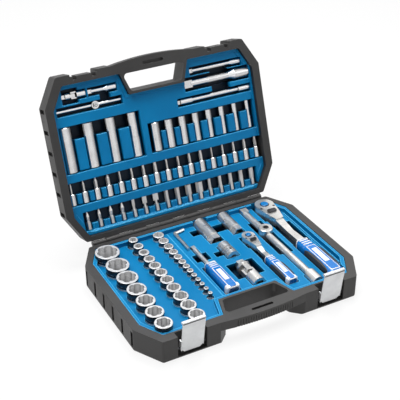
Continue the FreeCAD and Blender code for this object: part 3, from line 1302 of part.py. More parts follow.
def lid_tray():
    """Blue tray of the lid, laid out closed: rows of long sockets and bits, bars at the front."""
    tray = Tray(LID_FACE, LID_H - FLOOR_T, LID_LIP_DOWN, lid_z)
    widths = [max(medium_od(size), MEDIUM_FOOT_OD) for size in DEEP_SIZES]
    deep_end = DEEP_FOOT_S + DEEP_L
    lid_pocket(tray, DEEP_X[0] - widths[0] / 2, DEEP_X[-1] + widths[-1] / 2, DEEP_FOOT_S, deep_end,
               DEEP_FLOOR)
    dividers(tray, DEEP_X, widths, DEEP_FOOT_S + POCKET_ROOM, deep_end - DEEP_L * 0.3, DEEP_FLOOR)
    slim_x = even(DEEP_SLIM_FIRST_X, DEEP_SLIM_LAST_X, len(DEEP_SLIM_SIZES))
    widths = [max(small_od(size), SMALL_FOOT_OD) for size in DEEP_SLIM_SIZES]
    slim_end = DEEP_SLIM_FOOT_S + DEEP_SLIM_L
    lid_pocket(tray, slim_x[0] - widths[0] / 2 - LIP_W, slim_x[-1], DEEP_SLIM_FOOT_S, slim_end,
               DEEP_SLIM_FLOOR)
    lid_pocket(tray, slim_x[-2], MOUTH_X - LIP_W, DEEP_SLIM_FOOT_S, slim_end, DEEP_SLIM_FLOOR)
    dividers(tray, slim_x, widths, DEEP_SLIM_FOOT_S + POCKET_ROOM, slim_end - DEEP_SLIM_L * 0.35,
             DEEP_SLIM_FLOOR)
    holder_x = even(BIT_SOCKET_FIRST_X, BIT_SOCKET_LAST_X, BIT_SOCKET_COUNT)
    holder_end = BIT_SOCKET_S + BIT_SOCKET_L + BIT_BLADE_L
    lid_pocket(tray, holder_x[0] - BIT_SOCKET_R, holder_x[-1] + BIT_SOCKET_R - FIT, BIT_SOCKET_S, holder_end,
               BIT_SOCKET_FLOOR)
    dividers(tray, holder_x, [BIT_SOCKET_R * 2] * BIT_SOCKET_COUNT, BIT_SOCKET_S + POCKET_ROOM,
             BIT_SOCKET_S + BIT_SOCKET_L * 0.9, BIT_SOCKET_FLOOR)
    bit_x = even(BIT_FIRST_X, BIT_LAST_X, BIT_COUNT)
    bit_half = BIT_AF / 2 / math.cos(math.pi / 6)
    lid_pocket(tray, bit_x[0] - BIT_AF, bit_x[-1] + BIT_AF, BIT_S, BIT_S + BIT_L, BIT_FLOOR)
    dividers(tray, bit_x, [bit_half * 2] * BIT_COUNT, BIT_S - POCKET_ROOM, BIT_S + BIT_SHANK_L * 0.8,
             BIT_FLOOR)
    for name, e in EXTENSIONS.items():
        deep = SMALL_FLOOR + (e["sleeve_r"] / 2 if e["drive"] == HALF_DRIVE else 0)
        lid_pocket(tray, e["x0"], e["x1"], e["s"] - e["sleeve_r"], e["s"] + e["sleeve_r"], deep)
    lid_pocket(tray, FLEX_X0, FLEX_X1, FLEX_S - FLEX_END_R, FLEX_S + FLEX_END_R, SMALL_FLOOR)
    lid_pocket(tray, SMALL_TEE_X0, SMALL_TEE_X1, SMALL_TEE_S - SMALL_TEE_SLIDER_R,
               SMALL_TEE_S + SMALL_TEE_SLIDER_R, SMALL_FLOOR)
    u = UNIVERSALS["quarter"]
    turn = math.radians(SMALL_SWING_DEG)
    swing = u.drive_reach * math.sin(turn) + u.body_r * math.cos(turn)
    lid_pocket(tray, SMALL_JOINT_X - u.drive_reach, SMALL_JOINT_X + u.body_r, SMALL_JOINT_S - swing,
               SMALL_JOINT_S + swing, SMALL_FLOOR)
    lid_pocket(tray, SMALL_JOINT_X, SMALL_JOINT_X + u.socket_reach, SMALL_JOINT_S - u.body_r,
               SMALL_JOINT_S + u.body_r, SMALL_FLOOR)
    bar = EXTENSIONS["long"]
    mid_x = (bar["x0"] + bar["x1"]) / 2
    lid_pocket(tray, mid_x - GRIP_W / 2, mid_x + GRIP_W, FLEX_S, EXTENSIONS["medium"]["s"], FINGER_DEEP)
    short = EXTENSIONS["short"]
    mid_x = (short["x0"] + short["x1"]) / 2
    lid_pocket(tray, mid_x - GRIP_W / 4, mid_x + GRIP_W / 2, SMALL_TEE_S, short["s"], FINGER_DEEP)
    return join([tray.rim(), tray.bed()])


def build_case():
    """Write the case: two shells, two trays with the sockets' cups, latches and pins."""
    tray = base_tray()
    save("base_shell", [base_shell()])
    save("base_tray", [tray.rim()] + base_beds(tray))
    save("socket_cups", tray.wells)
    save("lid_shell", [open_lid(lid_shell())])
    save("lid_tray", [open_lid(lid_tray())])
    save("hinge_pin", [hinge_pin()])
    save("latch_left", [latch(-1)])
    save("latch_right", [latch(1)])
    save("latch_pins", [latch_pin(-1), latch_pin(1)])


def build_ratchet(name, r):
    """Write the pieces of one ratchet."""
    stem = "ratchet_" + name
    save(stem + "_body", [ratchet_body(r)])
    save(stem + "_cover", [ratchet_cover(r)])
    save(stem + "_screws", ratchet_screws(r))
    save(stem + "_gear", [ratchet_gear(r)])
    save(stem + "_button", [ratchet_button(r)])
    save(stem + "_lever", [ratchet_lever(r)])
    save(stem + "_pawl", [ratchet_pawl(r)])
    save(stem + "_grip", [ratchet_grip(r)])
    save(stem + "_side_pads", ratchet_pads(r))
    save(stem + "_grip_inlays", grip_inlays(r))


def build_joint(name):
    """Write the pieces of one universal joint."""
    u = UNIVERSALS[name]
    pieces = {"drive_yoke": universal_drive(u), "cross": universal_cross(u),
              "socket_yoke": universal_socket(u)}
    for piece, shape in pieces.items():
        if name == "half":
            made = placed(shape, joint_origin(name), BACKWARD, Z_AXIS)
        else:
            made = open_lid(placed(shape, joint_origin(name), -X_AXIS, LID_INWARD))
        save("universal_" + name + "_" + piece, [made])


def build_base_tools():
    """Write the loose tools of the base."""
    save("large_sockets", [made for made, width, foot in large_row()])
    save("medium_sockets", [made for made, width, foot in medium_row()])
    save("small_sockets", [made for made, width, foot in small_row()])
    save("spinner_shaft", [spinner_shaft()])
    save("spinner_grip", [spinner_grip()])
    save("spinner_inlays", grip_inlays(SPINNER))
    save("tee_bar", [tee_bar()])
    save("tee_slider", [tee_slider()])
    for name, sizes in SPARK.items():
        save("spark_socket_" + name, [spark_socket(**sizes)])
    save("spark_inserts", [spark_insert(**sizes) for sizes in SPARK.values()])
    save("bit_adapter", [bit_adapter()])
    save("hex_key", [hex_key()])


def build_lid_tools():
    """Write the loose tools of the lid, at its open pose."""
    bodies, blades = bit_sockets()
    save("deep_sockets", [open_lid(s) for s in deep_sockets()])
    save("deep_slim_sockets", [open_lid(s) for s in deep_slim_sockets()])
    save("bit_socket_bodies", [open_lid(s) for s in bodies])
    save("bit_socket_blades", [open_lid(s) for s in blades])
    save("screwdriver_bits", [open_lid(s) for s in bits()])
    for name, sizes in EXTENSIONS.items():
        save("extension_" + name, [open_lid(extension(**sizes))])
    save("flexible_extension_ends", [open_lid(s) for s in flex_ends()])
    save("flexible_extension_core", [open_lid(flex_core())])
    save("small_tee_bar", [open_lid(small_tee_bar())])
    save("small_tee_slider", [open_lid(small_tee_slider())])


os.makedirs("parts", exist_ok=True)
build_case()
for name, r in RATCHETS.items():
    build_ratchet(name, r)
for name in UNIVERSALS:
    build_joint(name)
build_base_tools()
build_lid_tools()
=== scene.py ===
import math
import bpy
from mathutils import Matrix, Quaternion, Vector


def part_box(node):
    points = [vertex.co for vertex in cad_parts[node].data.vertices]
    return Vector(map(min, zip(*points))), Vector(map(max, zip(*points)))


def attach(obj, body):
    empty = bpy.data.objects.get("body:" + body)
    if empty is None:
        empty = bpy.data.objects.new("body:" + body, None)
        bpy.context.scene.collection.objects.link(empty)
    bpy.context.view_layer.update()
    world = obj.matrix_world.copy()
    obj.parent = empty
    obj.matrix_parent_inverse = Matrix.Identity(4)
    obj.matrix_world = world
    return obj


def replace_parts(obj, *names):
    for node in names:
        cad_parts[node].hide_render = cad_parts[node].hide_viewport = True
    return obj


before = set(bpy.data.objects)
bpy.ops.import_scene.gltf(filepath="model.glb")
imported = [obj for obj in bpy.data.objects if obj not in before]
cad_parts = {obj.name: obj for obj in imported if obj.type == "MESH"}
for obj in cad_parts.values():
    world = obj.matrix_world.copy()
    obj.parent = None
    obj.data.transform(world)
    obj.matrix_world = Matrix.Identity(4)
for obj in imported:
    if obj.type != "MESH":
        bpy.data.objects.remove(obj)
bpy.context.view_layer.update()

bpy.ops.object.select_all(action="DESELECT")

# Case shells: two halves of tough dark plastic, blow moulded in textured steel
# moulds. The grain keeps the outside dull and the corners rub a little paler.
CASE_DARK = (0.017, 0.016, 0.016, 1)
CASE_PALE = (0.029, 0.028, 0.027, 1)
CASE_GRAIN = 950.0
CASE_ROUGH = (0.42, 0.62)
CASE_PEBBLE_DEEP = 0.0003
MID_RANGE = (0.3, 0.7)
PEBBLE_STRENGTH = 0.25
COAT_ROUGH = 0.12
EDGE_SAMPLES = 4


def shader_group(name, inputs, outputs):
    """Empty shader node group with float inputs, given with their values, and float outputs."""
    group = bpy.data.node_groups.new(name, "ShaderNodeTree")
    for label, value in inputs.items():
        socket = group.interface.new_socket(label, in_out="INPUT", socket_type="NodeSocketFloat")
        socket.default_value = value
    for label in outputs:
        group.interface.new_socket(label, in_out="OUTPUT", socket_type="NodeSocketFloat")
    entry = group.nodes.new("NodeGroupInput")
    leave = group.nodes.new("NodeGroupOutput")
    return group, entry, leave


def moulded_grain():
    """Fine pebbled mould texture, with a slow patchy change for handling marks."""
    group, entry, leave = shader_group(
        "moulded_grain", {"Grain": 900.0, "Patch": 14.0}, ["Height", "Patches"])
    nodes, links = group.nodes, group.links
    where = nodes.new("ShaderNodeTexCoord")
    pebble = nodes.new("ShaderNodeTexVoronoi")
    pebble.feature = "SMOOTH_F1"
    fine = nodes.new("ShaderNodeTexNoise")
    fine.inputs["Detail"].default_value = 3.0
    slow = nodes.new("ShaderNodeTexNoise")
    slow.inputs["Detail"].default_value = 4.0
    both = nodes.new("ShaderNodeMath")
    both.operation = "ADD"
    for texture in (pebble, fine, slow):
        links.new(where.outputs["Object"], texture.inputs["Vector"])
    links.new(entry.outputs["Grain"], pebble.inputs["Scale"])
    links.new(entry.outputs["Grain"], fine.inputs["Scale"])
    links.new(entry.outputs["Patch"], slow.inputs["Scale"])
    links.new(pebble.outputs["Distance"], both.inputs[0])
    links.new(fine.outputs["Fac"], both.inputs[1])
    links.new(both.outputs["Value"], leave.inputs["Height"])
    links.new(slow.outputs["Fac"], leave.inputs["Patches"])
    return group


def spread(nodes, links, source, low, high):
    """A 0 to 1 value spread between two values over the middle of its range."""
    node = nodes.new("ShaderNodeMapRange")
    node.inputs["From Min"].default_value = MID_RANGE[0]
    node.inputs["From Max"].default_value = MID_RANGE[1]
    node.inputs["To Min"].default_value = low
    node.inputs["To Max"].default_value = high
    links.new(source, node.inputs["Value"])
    return node.outputs["Result"]


def plastic(name, dark, pale, grain, rough, depth, coat=0.0, soft_edge=0.0006):
    """Moulded plastic: patchy colour and gloss over a pebbled surface with softened edges."""
    finish = bpy.data.materials.new(name)
    finish.use_nodes = True
    nodes, links = finish.node_tree.nodes, finish.node_tree.links
    shader = nodes["Principled BSDF"]
    texture = nodes.new("ShaderNodeGroup")
    texture.node_tree = GRAIN
    texture.inputs["Grain"].default_value = grain
    tint = nodes.new("ShaderNodeMix")
    tint.data_type = "RGBA"
    tint.inputs["A"].default_value = dark
    tint.inputs["B"].default_value = pale
    links.new(spread(nodes, links, texture.outputs["Patches"], 0.0, 1.0), tint.inputs["Factor"])
    links.new(tint.outputs["Result"], shader.inputs["Base Color"])
    links.new(spread(nodes, links, texture.outputs["Patches"], *rough), shader.inputs["Roughness"])
    bump = nodes.new("ShaderNodeBump")
    bump.inputs["Strength"].default_value = PEBBLE_STRENGTH
    bump.inputs["Distance"].default_value = depth
    links.new(texture.outputs["Height"], bump.inputs["Height"])
    edge = nodes.new("ShaderNodeBevel")
    edge.samples = EDGE_SAMPLES
    edge.inputs["Radius"].default_value = soft_edge
    links.new(edge.outputs["Normal"], bump.inputs["Normal"])
    links.new(bump.outputs["Normal"], shader.inputs["Normal"])
    shader.inputs["Coat Weight"].default_value = coat
    shader.inputs["Coat Roughness"].default_value = COAT_ROUGH
    return finish


def finish_nodes(finish, *names):
    """Give CAD nodes their finish."""
    for name in names:
        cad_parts[name].material_slots[0].material = finish


GRAIN = moulded_grain()
case_skin = plastic("case_skin", CASE_DARK, CASE_PALE, CASE_GRAIN, CASE_ROUGH, CASE_PEBBLE_DEEP)
finish_nodes(case_skin, "base_shell", "lid_shell")

# Trays: thin satin plastic sheet drawn over a mould and pressed into each half of
# the case. Its face stays bright; painted highlight makes the edges that face the sky
# paler, and painted shade darkens the pockets with depth below the face.
TRAY_DARK = (0.0, 0.165, 0.390, 1)
TRAY_PALE = (0.0, 0.200, 0.450, 1)
TRAY_GRAIN = 420.0
TRAY_ROUGH = (0.30, 0.42)
TRAY_PEBBLE_DEEP = 0.0002
TRAY_ROUNDED = 0.0016
TRAY_SHINE = 0.2
# Painted shade in the pockets: the dark blue they fade to, and how far below the face it reaches.
POCKET_PAINTED_SHADE = (0.0, 0.012, 0.030, 1)
POCKET_SHADE_REACH = 0.010
FACE_START = -0.0005
# Painted highlight along the edges that face the sky: its colour, width and masks.
TRAY_EDGE_HIGHLIGHT = (0.10, 0.520, 0.860, 1)
TRAY_HIGHLIGHT_WIDE = 0.0026
EDGE_BENT = (0.99, 0.92)
HIGHLIGHT_SKYWARD = (0.45, 0.80)
HIGHLIGHT_SAMPLES = 6


def painted_shade_depth():
    """Mask for painted shade: how far a point lies below the tray's face, from 0 at the face to 1 at the
    pockets' floor.
    """
    group = bpy.data.node_groups.new("painted_shade_depth", "ShaderNodeTree")
    group.interface.new_socket("Face point", in_out="INPUT", socket_type="NodeSocketVector")
    group.interface.new_socket("Out of face", in_out="INPUT", socket_type="NodeSocketVector")
    group.interface.new_socket("Reach", in_out="INPUT", socket_type="NodeSocketFloat")
    group.interface.new_socket("Depth", in_out="OUTPUT", socket_type="NodeSocketFloat")
    entry = group.nodes.new("NodeGroupInput")
    leave = group.nodes.new("NodeGroupOutput")
    where = group.nodes.new("ShaderNodeTexCoord")
    away = group.nodes.new("ShaderNodeVectorMath")
    away.operation = "SUBTRACT"
    group.links.new(where.outputs["Object"], away.inputs[0])
    group.links.new(entry.outputs["Face point"], away.inputs[1])
    along = group.nodes.new("ShaderNodeVectorMath")
    along.operation = "DOT_PRODUCT"
    group.links.new(away.outputs["Vector"], along.inputs[0])
    group.links.new(entry.outputs["Out of face"], along.inputs[1])
    fade = group.nodes.new("ShaderNodeMapRange")
    fade.interpolation_type = "SMOOTHSTEP"
    fade.inputs["From Min"].default_value = FACE_START
    down = group.nodes.new("ShaderNodeMath")
    down.operation = "MULTIPLY"
    down.inputs[1].default_value = -1.0
    group.links.new(entry.outputs["Reach"], down.inputs[0])
    group.links.new(down.outputs["Value"], fade.inputs["From Max"])
    group.links.new(along.outputs["Value"], fade.inputs["Value"])
    group.links.new(fade.outputs["Result"], leave.inputs["Depth"])
    return group


def paint_shade_below(finish, dark, top_point, out, reach):
    """Paint shade into a finish: darken it with distance below a plane, as in the pockets and in the
    sockets' mouths.
    """
    nodes, links = finish.node_tree.nodes, finish.node_tree.links
    shader = nodes["Principled BSDF"]
    depth = nodes.new("ShaderNodeGroup")
    depth.node_tree = PAINTED_SHADE_DEPTH
    depth.inputs["Face point"].default_value = top_point
    depth.inputs["Out of face"].default_value = out
    depth.inputs["Reach"].default_value = reach
    darken = nodes.new("ShaderNodeMix")
    darken.data_type = "RGBA"
    darken.inputs["B"].default_value = dark
    links.new(depth.outputs["Depth"], darken.inputs["Factor"])
    links.new(shader.inputs["Base Color"].links[0].from_socket, darken.inputs["A"])
    links.new(darken.outputs["Result"], shader.inputs["Base Color"])
    return finish


def highlight_edge_mask():
    """Mask for painted highlight: the rounded strip along each edge that faces the sky."""
    group, entry, leave = shader_group("highlight_edge_mask", {"Wide": 0.001}, ["Edge"])
    rounded = group.nodes.new("ShaderNodeBevel")
    rounded.samples = HIGHLIGHT_SAMPLES
    group.links.new(entry.outputs["Wide"], rounded.inputs["Radius"])
    flat = group.nodes.new("ShaderNodeNewGeometry")
    turn = group.nodes.new("ShaderNodeVectorMath")
    turn.operation = "DOT_PRODUCT"
    group.links.new(rounded.outputs["Normal"], turn.inputs[0])
    group.links.new(flat.outputs["Normal"], turn.inputs[1])
    bent = group.nodes.new("ShaderNodeMapRange")
    bent.inputs["From Min"].default_value = EDGE_BENT[0]
    bent.inputs["From Max"].default_value = EDGE_BENT[1]
    group.links.new(turn.outputs["Value"], bent.inputs["Value"])
    upward = group.nodes.new("ShaderNodeSeparateXYZ")
    group.links.new(rounded.outputs["Normal"], upward.inputs["Vector"])
    sky = group.nodes.new("ShaderNodeMapRange")
    sky.inputs["From Min"].default_value = HIGHLIGHT_SKYWARD[0]
    sky.inputs["From Max"].default_value = HIGHLIGHT_SKYWARD[1]
    group.links.new(upward.outputs["Z"], sky.inputs["Value"])
    both = group.nodes.new("ShaderNodeMath")
    both.operation = "MULTIPLY"
    group.links.new(bent.outputs["Result"], both.inputs[0])
    group.links.new(sky.outputs["Result"], both.inputs[1])
    group.links.new(both.outputs["Value"], leave.inputs["Edge"])
    return group


def paint_edge_highlights(finish, pale, wide):
    """Painted highlight: paler colour along the edges that face the sky, where the light would catch them.
    """
    nodes, links = finish.node_tree.nodes, finish.node_tree.links
    shader = nodes["Principled BSDF"]
    mask = nodes.new("ShaderNodeGroup")
    mask.node_tree = HIGHLIGHT_MASK
    mask.inputs["Wide"].default_value = wide
    lighten = nodes.new("ShaderNodeMix")
    lighten.data_type = "RGBA"
    lighten.inputs["B"].default_value = pale
    links.new(mask.outputs["Edge"], lighten.inputs["Factor"])
    links.new(shader.inputs["Base Color"].links[0].from_socket, lighten.inputs["A"])
    links.new(lighten.outputs["Result"], shader.inputs["Base Color"])
    return finish


PAINTED_SHADE_DEPTH = painted_shade_depth()
HIGHLIGHT_MASK = highlight_edge_mask()
BASE_FACE_Z = 0.0350
LID_TURN = math.radians(108.5)
LID_OUT = (0, -math.sin(LID_TURN), -math.cos(LID_TURN))
HINGE = Vector((0, 0.1456, 0.0423))
LID_FACE_DEPTH = 0.0113
LID_FACE_POINT = HINGE - Vector(LID_OUT) * LID_FACE_DEPTH
TRAYS = {"base": ((0, 0, BASE_FACE_Z), (0, 0, 1), ("base_tray", "socket_cups")),
         "lid": (LID_FACE_POINT, LID_OUT, ("lid_tray",))}
for half, (point, out, names) in TRAYS.items():
    tray_skin = plastic(half + "_tray_skin", TRAY_DARK, TRAY_PALE, TRAY_GRAIN, TRAY_ROUGH,
                        TRAY_PEBBLE_DEEP, soft_edge=TRAY_ROUNDED)
    shader = tray_skin.node_tree.nodes["Principled BSDF"]
    shader.inputs["Specular IOR Level"].default_value = TRAY_SHINE
    # Painted highlight: paler blue along the edges that face the sky.
    paint_edge_highlights(tray_skin, TRAY_EDGE_HIGHLIGHT, TRAY_HIGHLIGHT_WIDE)
    # Painted shade: the finish darkens with depth below the tray's face, in the pockets.
    finish_nodes(paint_shade_below(tray_skin, POCKET_PAINTED_SHADE, point, out, POCKET_SHADE_REACH), *names)

# Pins: blackened drawn wire with fine lines along it, pushed through the knuckles of
# the hinge and the ears of the latches.
WIRE_DARK = (0.06, 0.06, 0.065, 1)
WIRE_PALE = (0.11, 0.11, 0.115, 1)
WIRE_ROUGH = (0.30, 0.42)
WIRE_ALONG = (0.05, 1.0, 1.0)
POLISH_CLOUD = 60.0
LINES_STRENGTH = 0.1
# Painted shade that metal takes on where it turns away from the eye.
AWAY_PAINTED_SHADE = (0.20, 0.20, 0.205, 1)


def steel_grain():
    """Fine brushing lines and a slow change of polish for bare metal."""
    group, entry, leave = shader_group(
        "steel_grain", {"Along X": 1.0, "Along Y": 1.0, "Along Z": 1.0, "Lines": 700.0},
        ["Height", "Polish"])
    nodes, links = group.nodes, group.links
    where = nodes.new("ShaderNodeTexCoord")
    stretch = nodes.new("ShaderNodeCombineXYZ")
    for axis in "XYZ":
        links.new(entry.outputs["Along " + axis], stretch.inputs[axis])
    lay = nodes.new("ShaderNodeVectorMath")
    lay.operation = "MULTIPLY"
    links.new(where.outputs["Object"], lay.inputs[0])
    links.new(stretch.outputs["Vector"], lay.inputs[1])
    lines = nodes.new("ShaderNodeTexNoise")
    lines.inputs["Detail"].default_value = 3.0
    links.new(lay.outputs["Vector"], lines.inputs["Vector"])
    links.new(entry.outputs["Lines"], lines.inputs["Scale"])
    cloud = nodes.new("ShaderNodeTexNoise")
    cloud.inputs["Scale"].default_value = POLISH_CLOUD
    cloud.inputs["Detail"].default_value = 4.0
    links.new(where.outputs["Object"], cloud.inputs["Vector"])
    links.new(lines.outputs["Fac"], leave.inputs["Height"])
    links.new(cloud.outputs["Fac"], leave.inputs["Polish"])
    return group


def metal(name, dark, pale, rough, along=(1.0, 1.0, 1.0), lines=700.0, depth=0.0, facing_shade=None):
    """Bare or plated metal with patches of duller polish.

    A depth gives it brushing lines, and the last argument is the range over which
    painted shade darkens it as it turns away from the eye.
    """
    finish = bpy.data.materials.new(name)
    finish.use_nodes = True
    nodes, links = finish.node_tree.nodes, finish.node_tree.links
    shader = nodes["Principled BSDF"]
    shader.inputs["Metallic"].default_value = 1.0
    texture = nodes.new("ShaderNodeGroup")
    texture.node_tree = STEEL
    for axis, share in zip("XYZ", along):
        texture.inputs["Along " + axis].default_value = share
    texture.inputs["Lines"].default_value = lines
    tint = nodes.new("ShaderNodeMix")
    tint.data_type = "RGBA"
    tint.inputs["A"].default_value = dark
    tint.inputs["B"].default_value = pale
    links.new(spread(nodes, links, texture.outputs["Polish"], 0.0, 1.0), tint.inputs["Factor"])
    links.new(tint.outputs["Result"], shader.inputs["Base Color"])
    links.new(spread(nodes, links, texture.outputs["Polish"], *rough), shader.inputs["Roughness"])
    if depth:
        bump = nodes.new("ShaderNodeBump")
        bump.inputs["Strength"].default_value = LINES_STRENGTH
        bump.inputs["Distance"].default_value = depth
        links.new(texture.outputs["Height"], bump.inputs["Height"])
        links.new(bump.outputs["Normal"], shader.inputs["Normal"])
    # Painted shade: darker where the surface turns away from the eye, standing in for a dark room in the
    # reflection.
    if facing_shade:
        facing = nodes.new("ShaderNodeLayerWeight")
        shade = nodes.new("ShaderNodeMix")
        shade.data_type = "RGBA"
        shade.inputs["B"].default_value = AWAY_PAINTED_SHADE
        round_off = nodes.new("ShaderNodeMapRange")
        round_off.inputs["From Min"].default_value = facing_shade[0]
        round_off.inputs["From Max"].default_value = facing_shade[1]
        links.new(facing.outputs["Facing"], round_off.inputs["Value"])
        links.new(round_off.outputs["Result"], shade.inputs["Factor"])
        links.new(tint.outputs["Result"], shade.inputs["A"])
        links.new(shade.outputs["Result"], shader.inputs["Base Color"])
    return finish


STEEL = steel_grain()
wire = metal("drawn_wire", WIRE_DARK, WIRE_PALE, WIRE_ROUGH, WIRE_ALONG)
finish_nodes(wire, "hinge_pin", "latch_pins")

# Latches: pale satin plates with a rolled lip, each hung on its pin in front of
# the base. The plate is coated, so it is bright but not shiny.
LATCH_DARK = (0.62, 0.63, 0.64, 1)
LATCH_PALE = (0.74, 0.75, 0.76, 1)
LATCH_ROUGH = (0.38, 0.50)
LATCH_METALLIC = 0.35
LIP_R = 0.0012
LIP_ROUNDING = LIP_R * 0.3
# Size and drop of the painted shadow strip under the lip.
SHADOW_STRIP_TALL = 0.0016
SHADOW_STRIP_CORNER = SHADOW_STRIP_TALL * 0.4
SHADOW_STRIP_DROP = 0.0037


def less_metallic(finish, share):
    """Let some of the light scatter, as a coat or a satin surface does."""
    finish.node_tree.nodes["Principled BSDF"].inputs["Metallic"].default_value = share
    return finish


latch_coat = less_metallic(metal("latch_coat", LATCH_DARK, LATCH_PALE, LATCH_ROUGH), LATCH_METALLIC)
finish_nodes(latch_coat, "latch_left", "latch_right")


def settle(piece, finish, body, bevel=0.0, angle=40.0):
    """Finish a modelled piece: turn its faces out, round its edges, fix its place and let it ride."""
    bpy.ops.mesh.select_all(action="SELECT")
    bpy.ops.mesh.normals_make_consistent(inside=False)
    bpy.ops.object.mode_set(mode="OBJECT")
    bpy.ops.object.transform_apply(location=True, rotation=True, scale=True)
    if bevel:
        rounding = piece.modifiers.new("rounding", "BEVEL")
        rounding.width = bevel
        rounding.segments = 3
        rounding.limit_method = "ANGLE"
        bpy.ops.object.modifier_apply(modifier=rounding.name)
    bpy.ops.object.shade_smooth_by_angle(angle=math.radians(angle))
    piece.data.materials.append(finish)
    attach(piece, body)
    bpy.ops.object.select_all(action="DESELECT")


for body in ("latch_left", "latch_right"):
    low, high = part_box(body)
    middle = ((low.x + high.x) / 2, low.y + LIP_R, high.z - LIP_R)
    bpy.ops.mesh.primitive_cylinder_add(vertices=24, radius=LIP_R, depth=high.x - low.x, location=middle,
                                        rotation=(0, math.pi / 2, 0))
    lip = bpy.context.object
    lip.name = body + "_lip"
    bpy.ops.object.mode_set(mode="EDIT")
    settle(lip, latch_coat, body, LIP_ROUNDING)
    # Painted shadow: a thin dark strip under the lip stands in for the shadow in the gap beneath the hook.
    bpy.ops.mesh.primitive_plane_add(size=1.0, location=(middle[0], low.y, high.z - SHADOW_STRIP_DROP),
                                     rotation=(math.pi / 2, 0, 0))
    lip_shadow_strip = bpy.context.object
    lip_shadow_strip.name = body + "_slot"
    bpy.ops.object.mode_set(mode="EDIT")
    bpy.ops.transform.resize(value=(high.x - low.x - LIP_R, 1.0, SHADOW_STRIP_TALL))
    bpy.ops.mesh.bevel(offset=SHADOW_STRIP_CORNER, segments=3, affect="VERTICES")
    bpy.ops.mesh.extrude_region_move(TRANSFORM_OT_translate={"value": (0, LIP_R, 0)})
    settle(lip_shadow_strip, wire, body)

# Upright sockets in the base: three rows of chromed chrome-vanadium steel, stood in
# the tray with their six-lobed mouths up. The mouths were broached and stay satin, with
# painted shade deeper in and where they turn from the eye. The outsides are turned with a
# groove and polished; a dark skin laid over them paints the reflection of a dark room.
CHROME_DARK = (0.84, 0.84, 0.845, 1)
CHROME_PALE = (0.91, 0.91, 0.91, 1)
# Ranges of painted shade as the steel turns away from the eye.
UPRIGHT_SHADE_RANGE = (0.07, 0.36)
LYING_SHADE_RANGE = (0.52, 0.84)
MOUTH_SHADE_RANGE = (0.22, 0.80)
# Painted shade deep in the mouths, and how far down it reaches.
MOUTH_PAINTED_SHADE = (0.34, 0.34, 0.345, 1)
MOUTH_ROUGH = (0.24, 0.34)
MOUTH_METALLIC = 0.30
MOUTH_SHADE_REACH = 0.034
# Colour of the painted reflection on the sockets' outsides.
REFLECTION_PAINTED_DARK = (0.030, 0.031, 0.033, 1)
REFLECTION_PAINTED_PALE = (0.055, 0.056, 0.060, 1)
POLISH_ROUGH = (0.10, 0.18)
POLISH_METALLIC = 0.6
SKIN_AWAY = 0.00012
SKIN_FOOT = BASE_FACE_Z + 0.0003
SKIN_BELOW_TOP = 0.0011
SKIN_STATIONS = [(0.0, 0.0), (0.28, 0.0), (0.30, -0.0001), (0.36, -0.0001), (0.38, 0.0),
                 (0.94, 0.0), (1.0, -0.00008)]
ROW_X = {"large_sockets": -0.155, "medium_sockets": -0.101, "small_sockets": -0.0545}
# Painted reflection: dark glossy finish for the skins over the sockets' outsides, standing in for a dark
# room they mirror.
dark_reflection_finish = less_metallic(metal("painted_dark_reflection", REFLECTION_PAINTED_DARK, REFLECTION_PAINTED_PALE, POLISH_ROUGH), POLISH_METALLIC)


def standing_sockets(row, x):
    """Y and visible radius of each socket in a row, from the back of the case forwards.

    The faces of one socket overlap along Y, and a gap parts it from the next. Its
    radius is taken above the tray, because some are wider in their wells.
    """
    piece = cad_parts[row]
    corners = [piece.matrix_world @ corner.co for corner in piece.data.vertices]
    spans = []
    for face in piece.data.polygons:
        along = [corners[i].y for i in face.vertices]
        spans.append((min(along), max(along)))
    spans.sort()
    groups = [list(spans[0])]
    for low, high in spans[1:]:
        if low > groups[-1][1]:
            groups.append([low, high])
        groups[-1][1] = max(groups[-1][1], high)
    sockets = []
    for low, high in reversed(groups):
        y = (low + high) / 2
        shown = [c for c in corners if low <= c.y <= high and c.z > BASE_FACE_Z]
        sockets.append((y, max(math.hypot(c.x - x, c.y - y) for c in shown)))
    return sockets


def dark_reflection_skin(name, place, radius, tall):
    """Dark skin over one socket that paints the reflection of a dark room, drawn up from the tray past a
    turned groove.
    """
    bpy.ops.mesh.primitive_circle_add(vertices=48, radius=radius + SKIN_AWAY, location=place)
    piece = bpy.context.object
    piece.name = name
    bpy.ops.object.mode_set(mode="EDIT")
    for (last, last_in), (share, step_in) in zip(SKIN_STATIONS, SKIN_STATIONS[1:]):
        step = (0, 0, (share - last) * tall)
        bpy.ops.mesh.extrude_region_move(TRANSFORM_OT_translate={"value": step})
        scale = (radius + SKIN_AWAY + step_in) / (radius + SKIN_AWAY + last_in)
        bpy.ops.transform.resize(value=(scale, scale, 1.0), center_override=place)
    bpy.ops.object.mode_set(mode="OBJECT")
    wall = piece.modifiers.new("wall", "SOLIDIFY")
    wall.thickness = SKIN_AWAY * 0.5
    wall.offset = 1.0
    bpy.ops.object.modifier_apply(modifier=wall.name)
    bpy.ops.object.mode_set(mode="EDIT")
    settle(piece, dark_reflection_finish, "case_base")


for row, x in ROW_X.items():
    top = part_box(row)[1].z
    # Painted shade: the mouths darken where they turn from the eye and with depth below the sockets' tops.
    mouth = metal("satin_" + row, CHROME_DARK, CHROME_PALE, MOUTH_ROUGH, facing_shade=MOUTH_SHADE_RANGE)
    less_metallic(mouth, MOUTH_METALLIC)
    finish_nodes(paint_shade_below(mouth, MOUTH_PAINTED_SHADE, (0, 0, top), (0, 0, 1), MOUTH_SHADE_REACH), row)
    tall = top - SKIN_BELOW_TOP - SKIN_FOOT
    for i, (y, radius) in enumerate(standing_sockets(row, x)):
        dark_reflection_skin("%s_outside_%d" % (row, i + 1), (x, y, SKIN_FOOT), radius, tall)

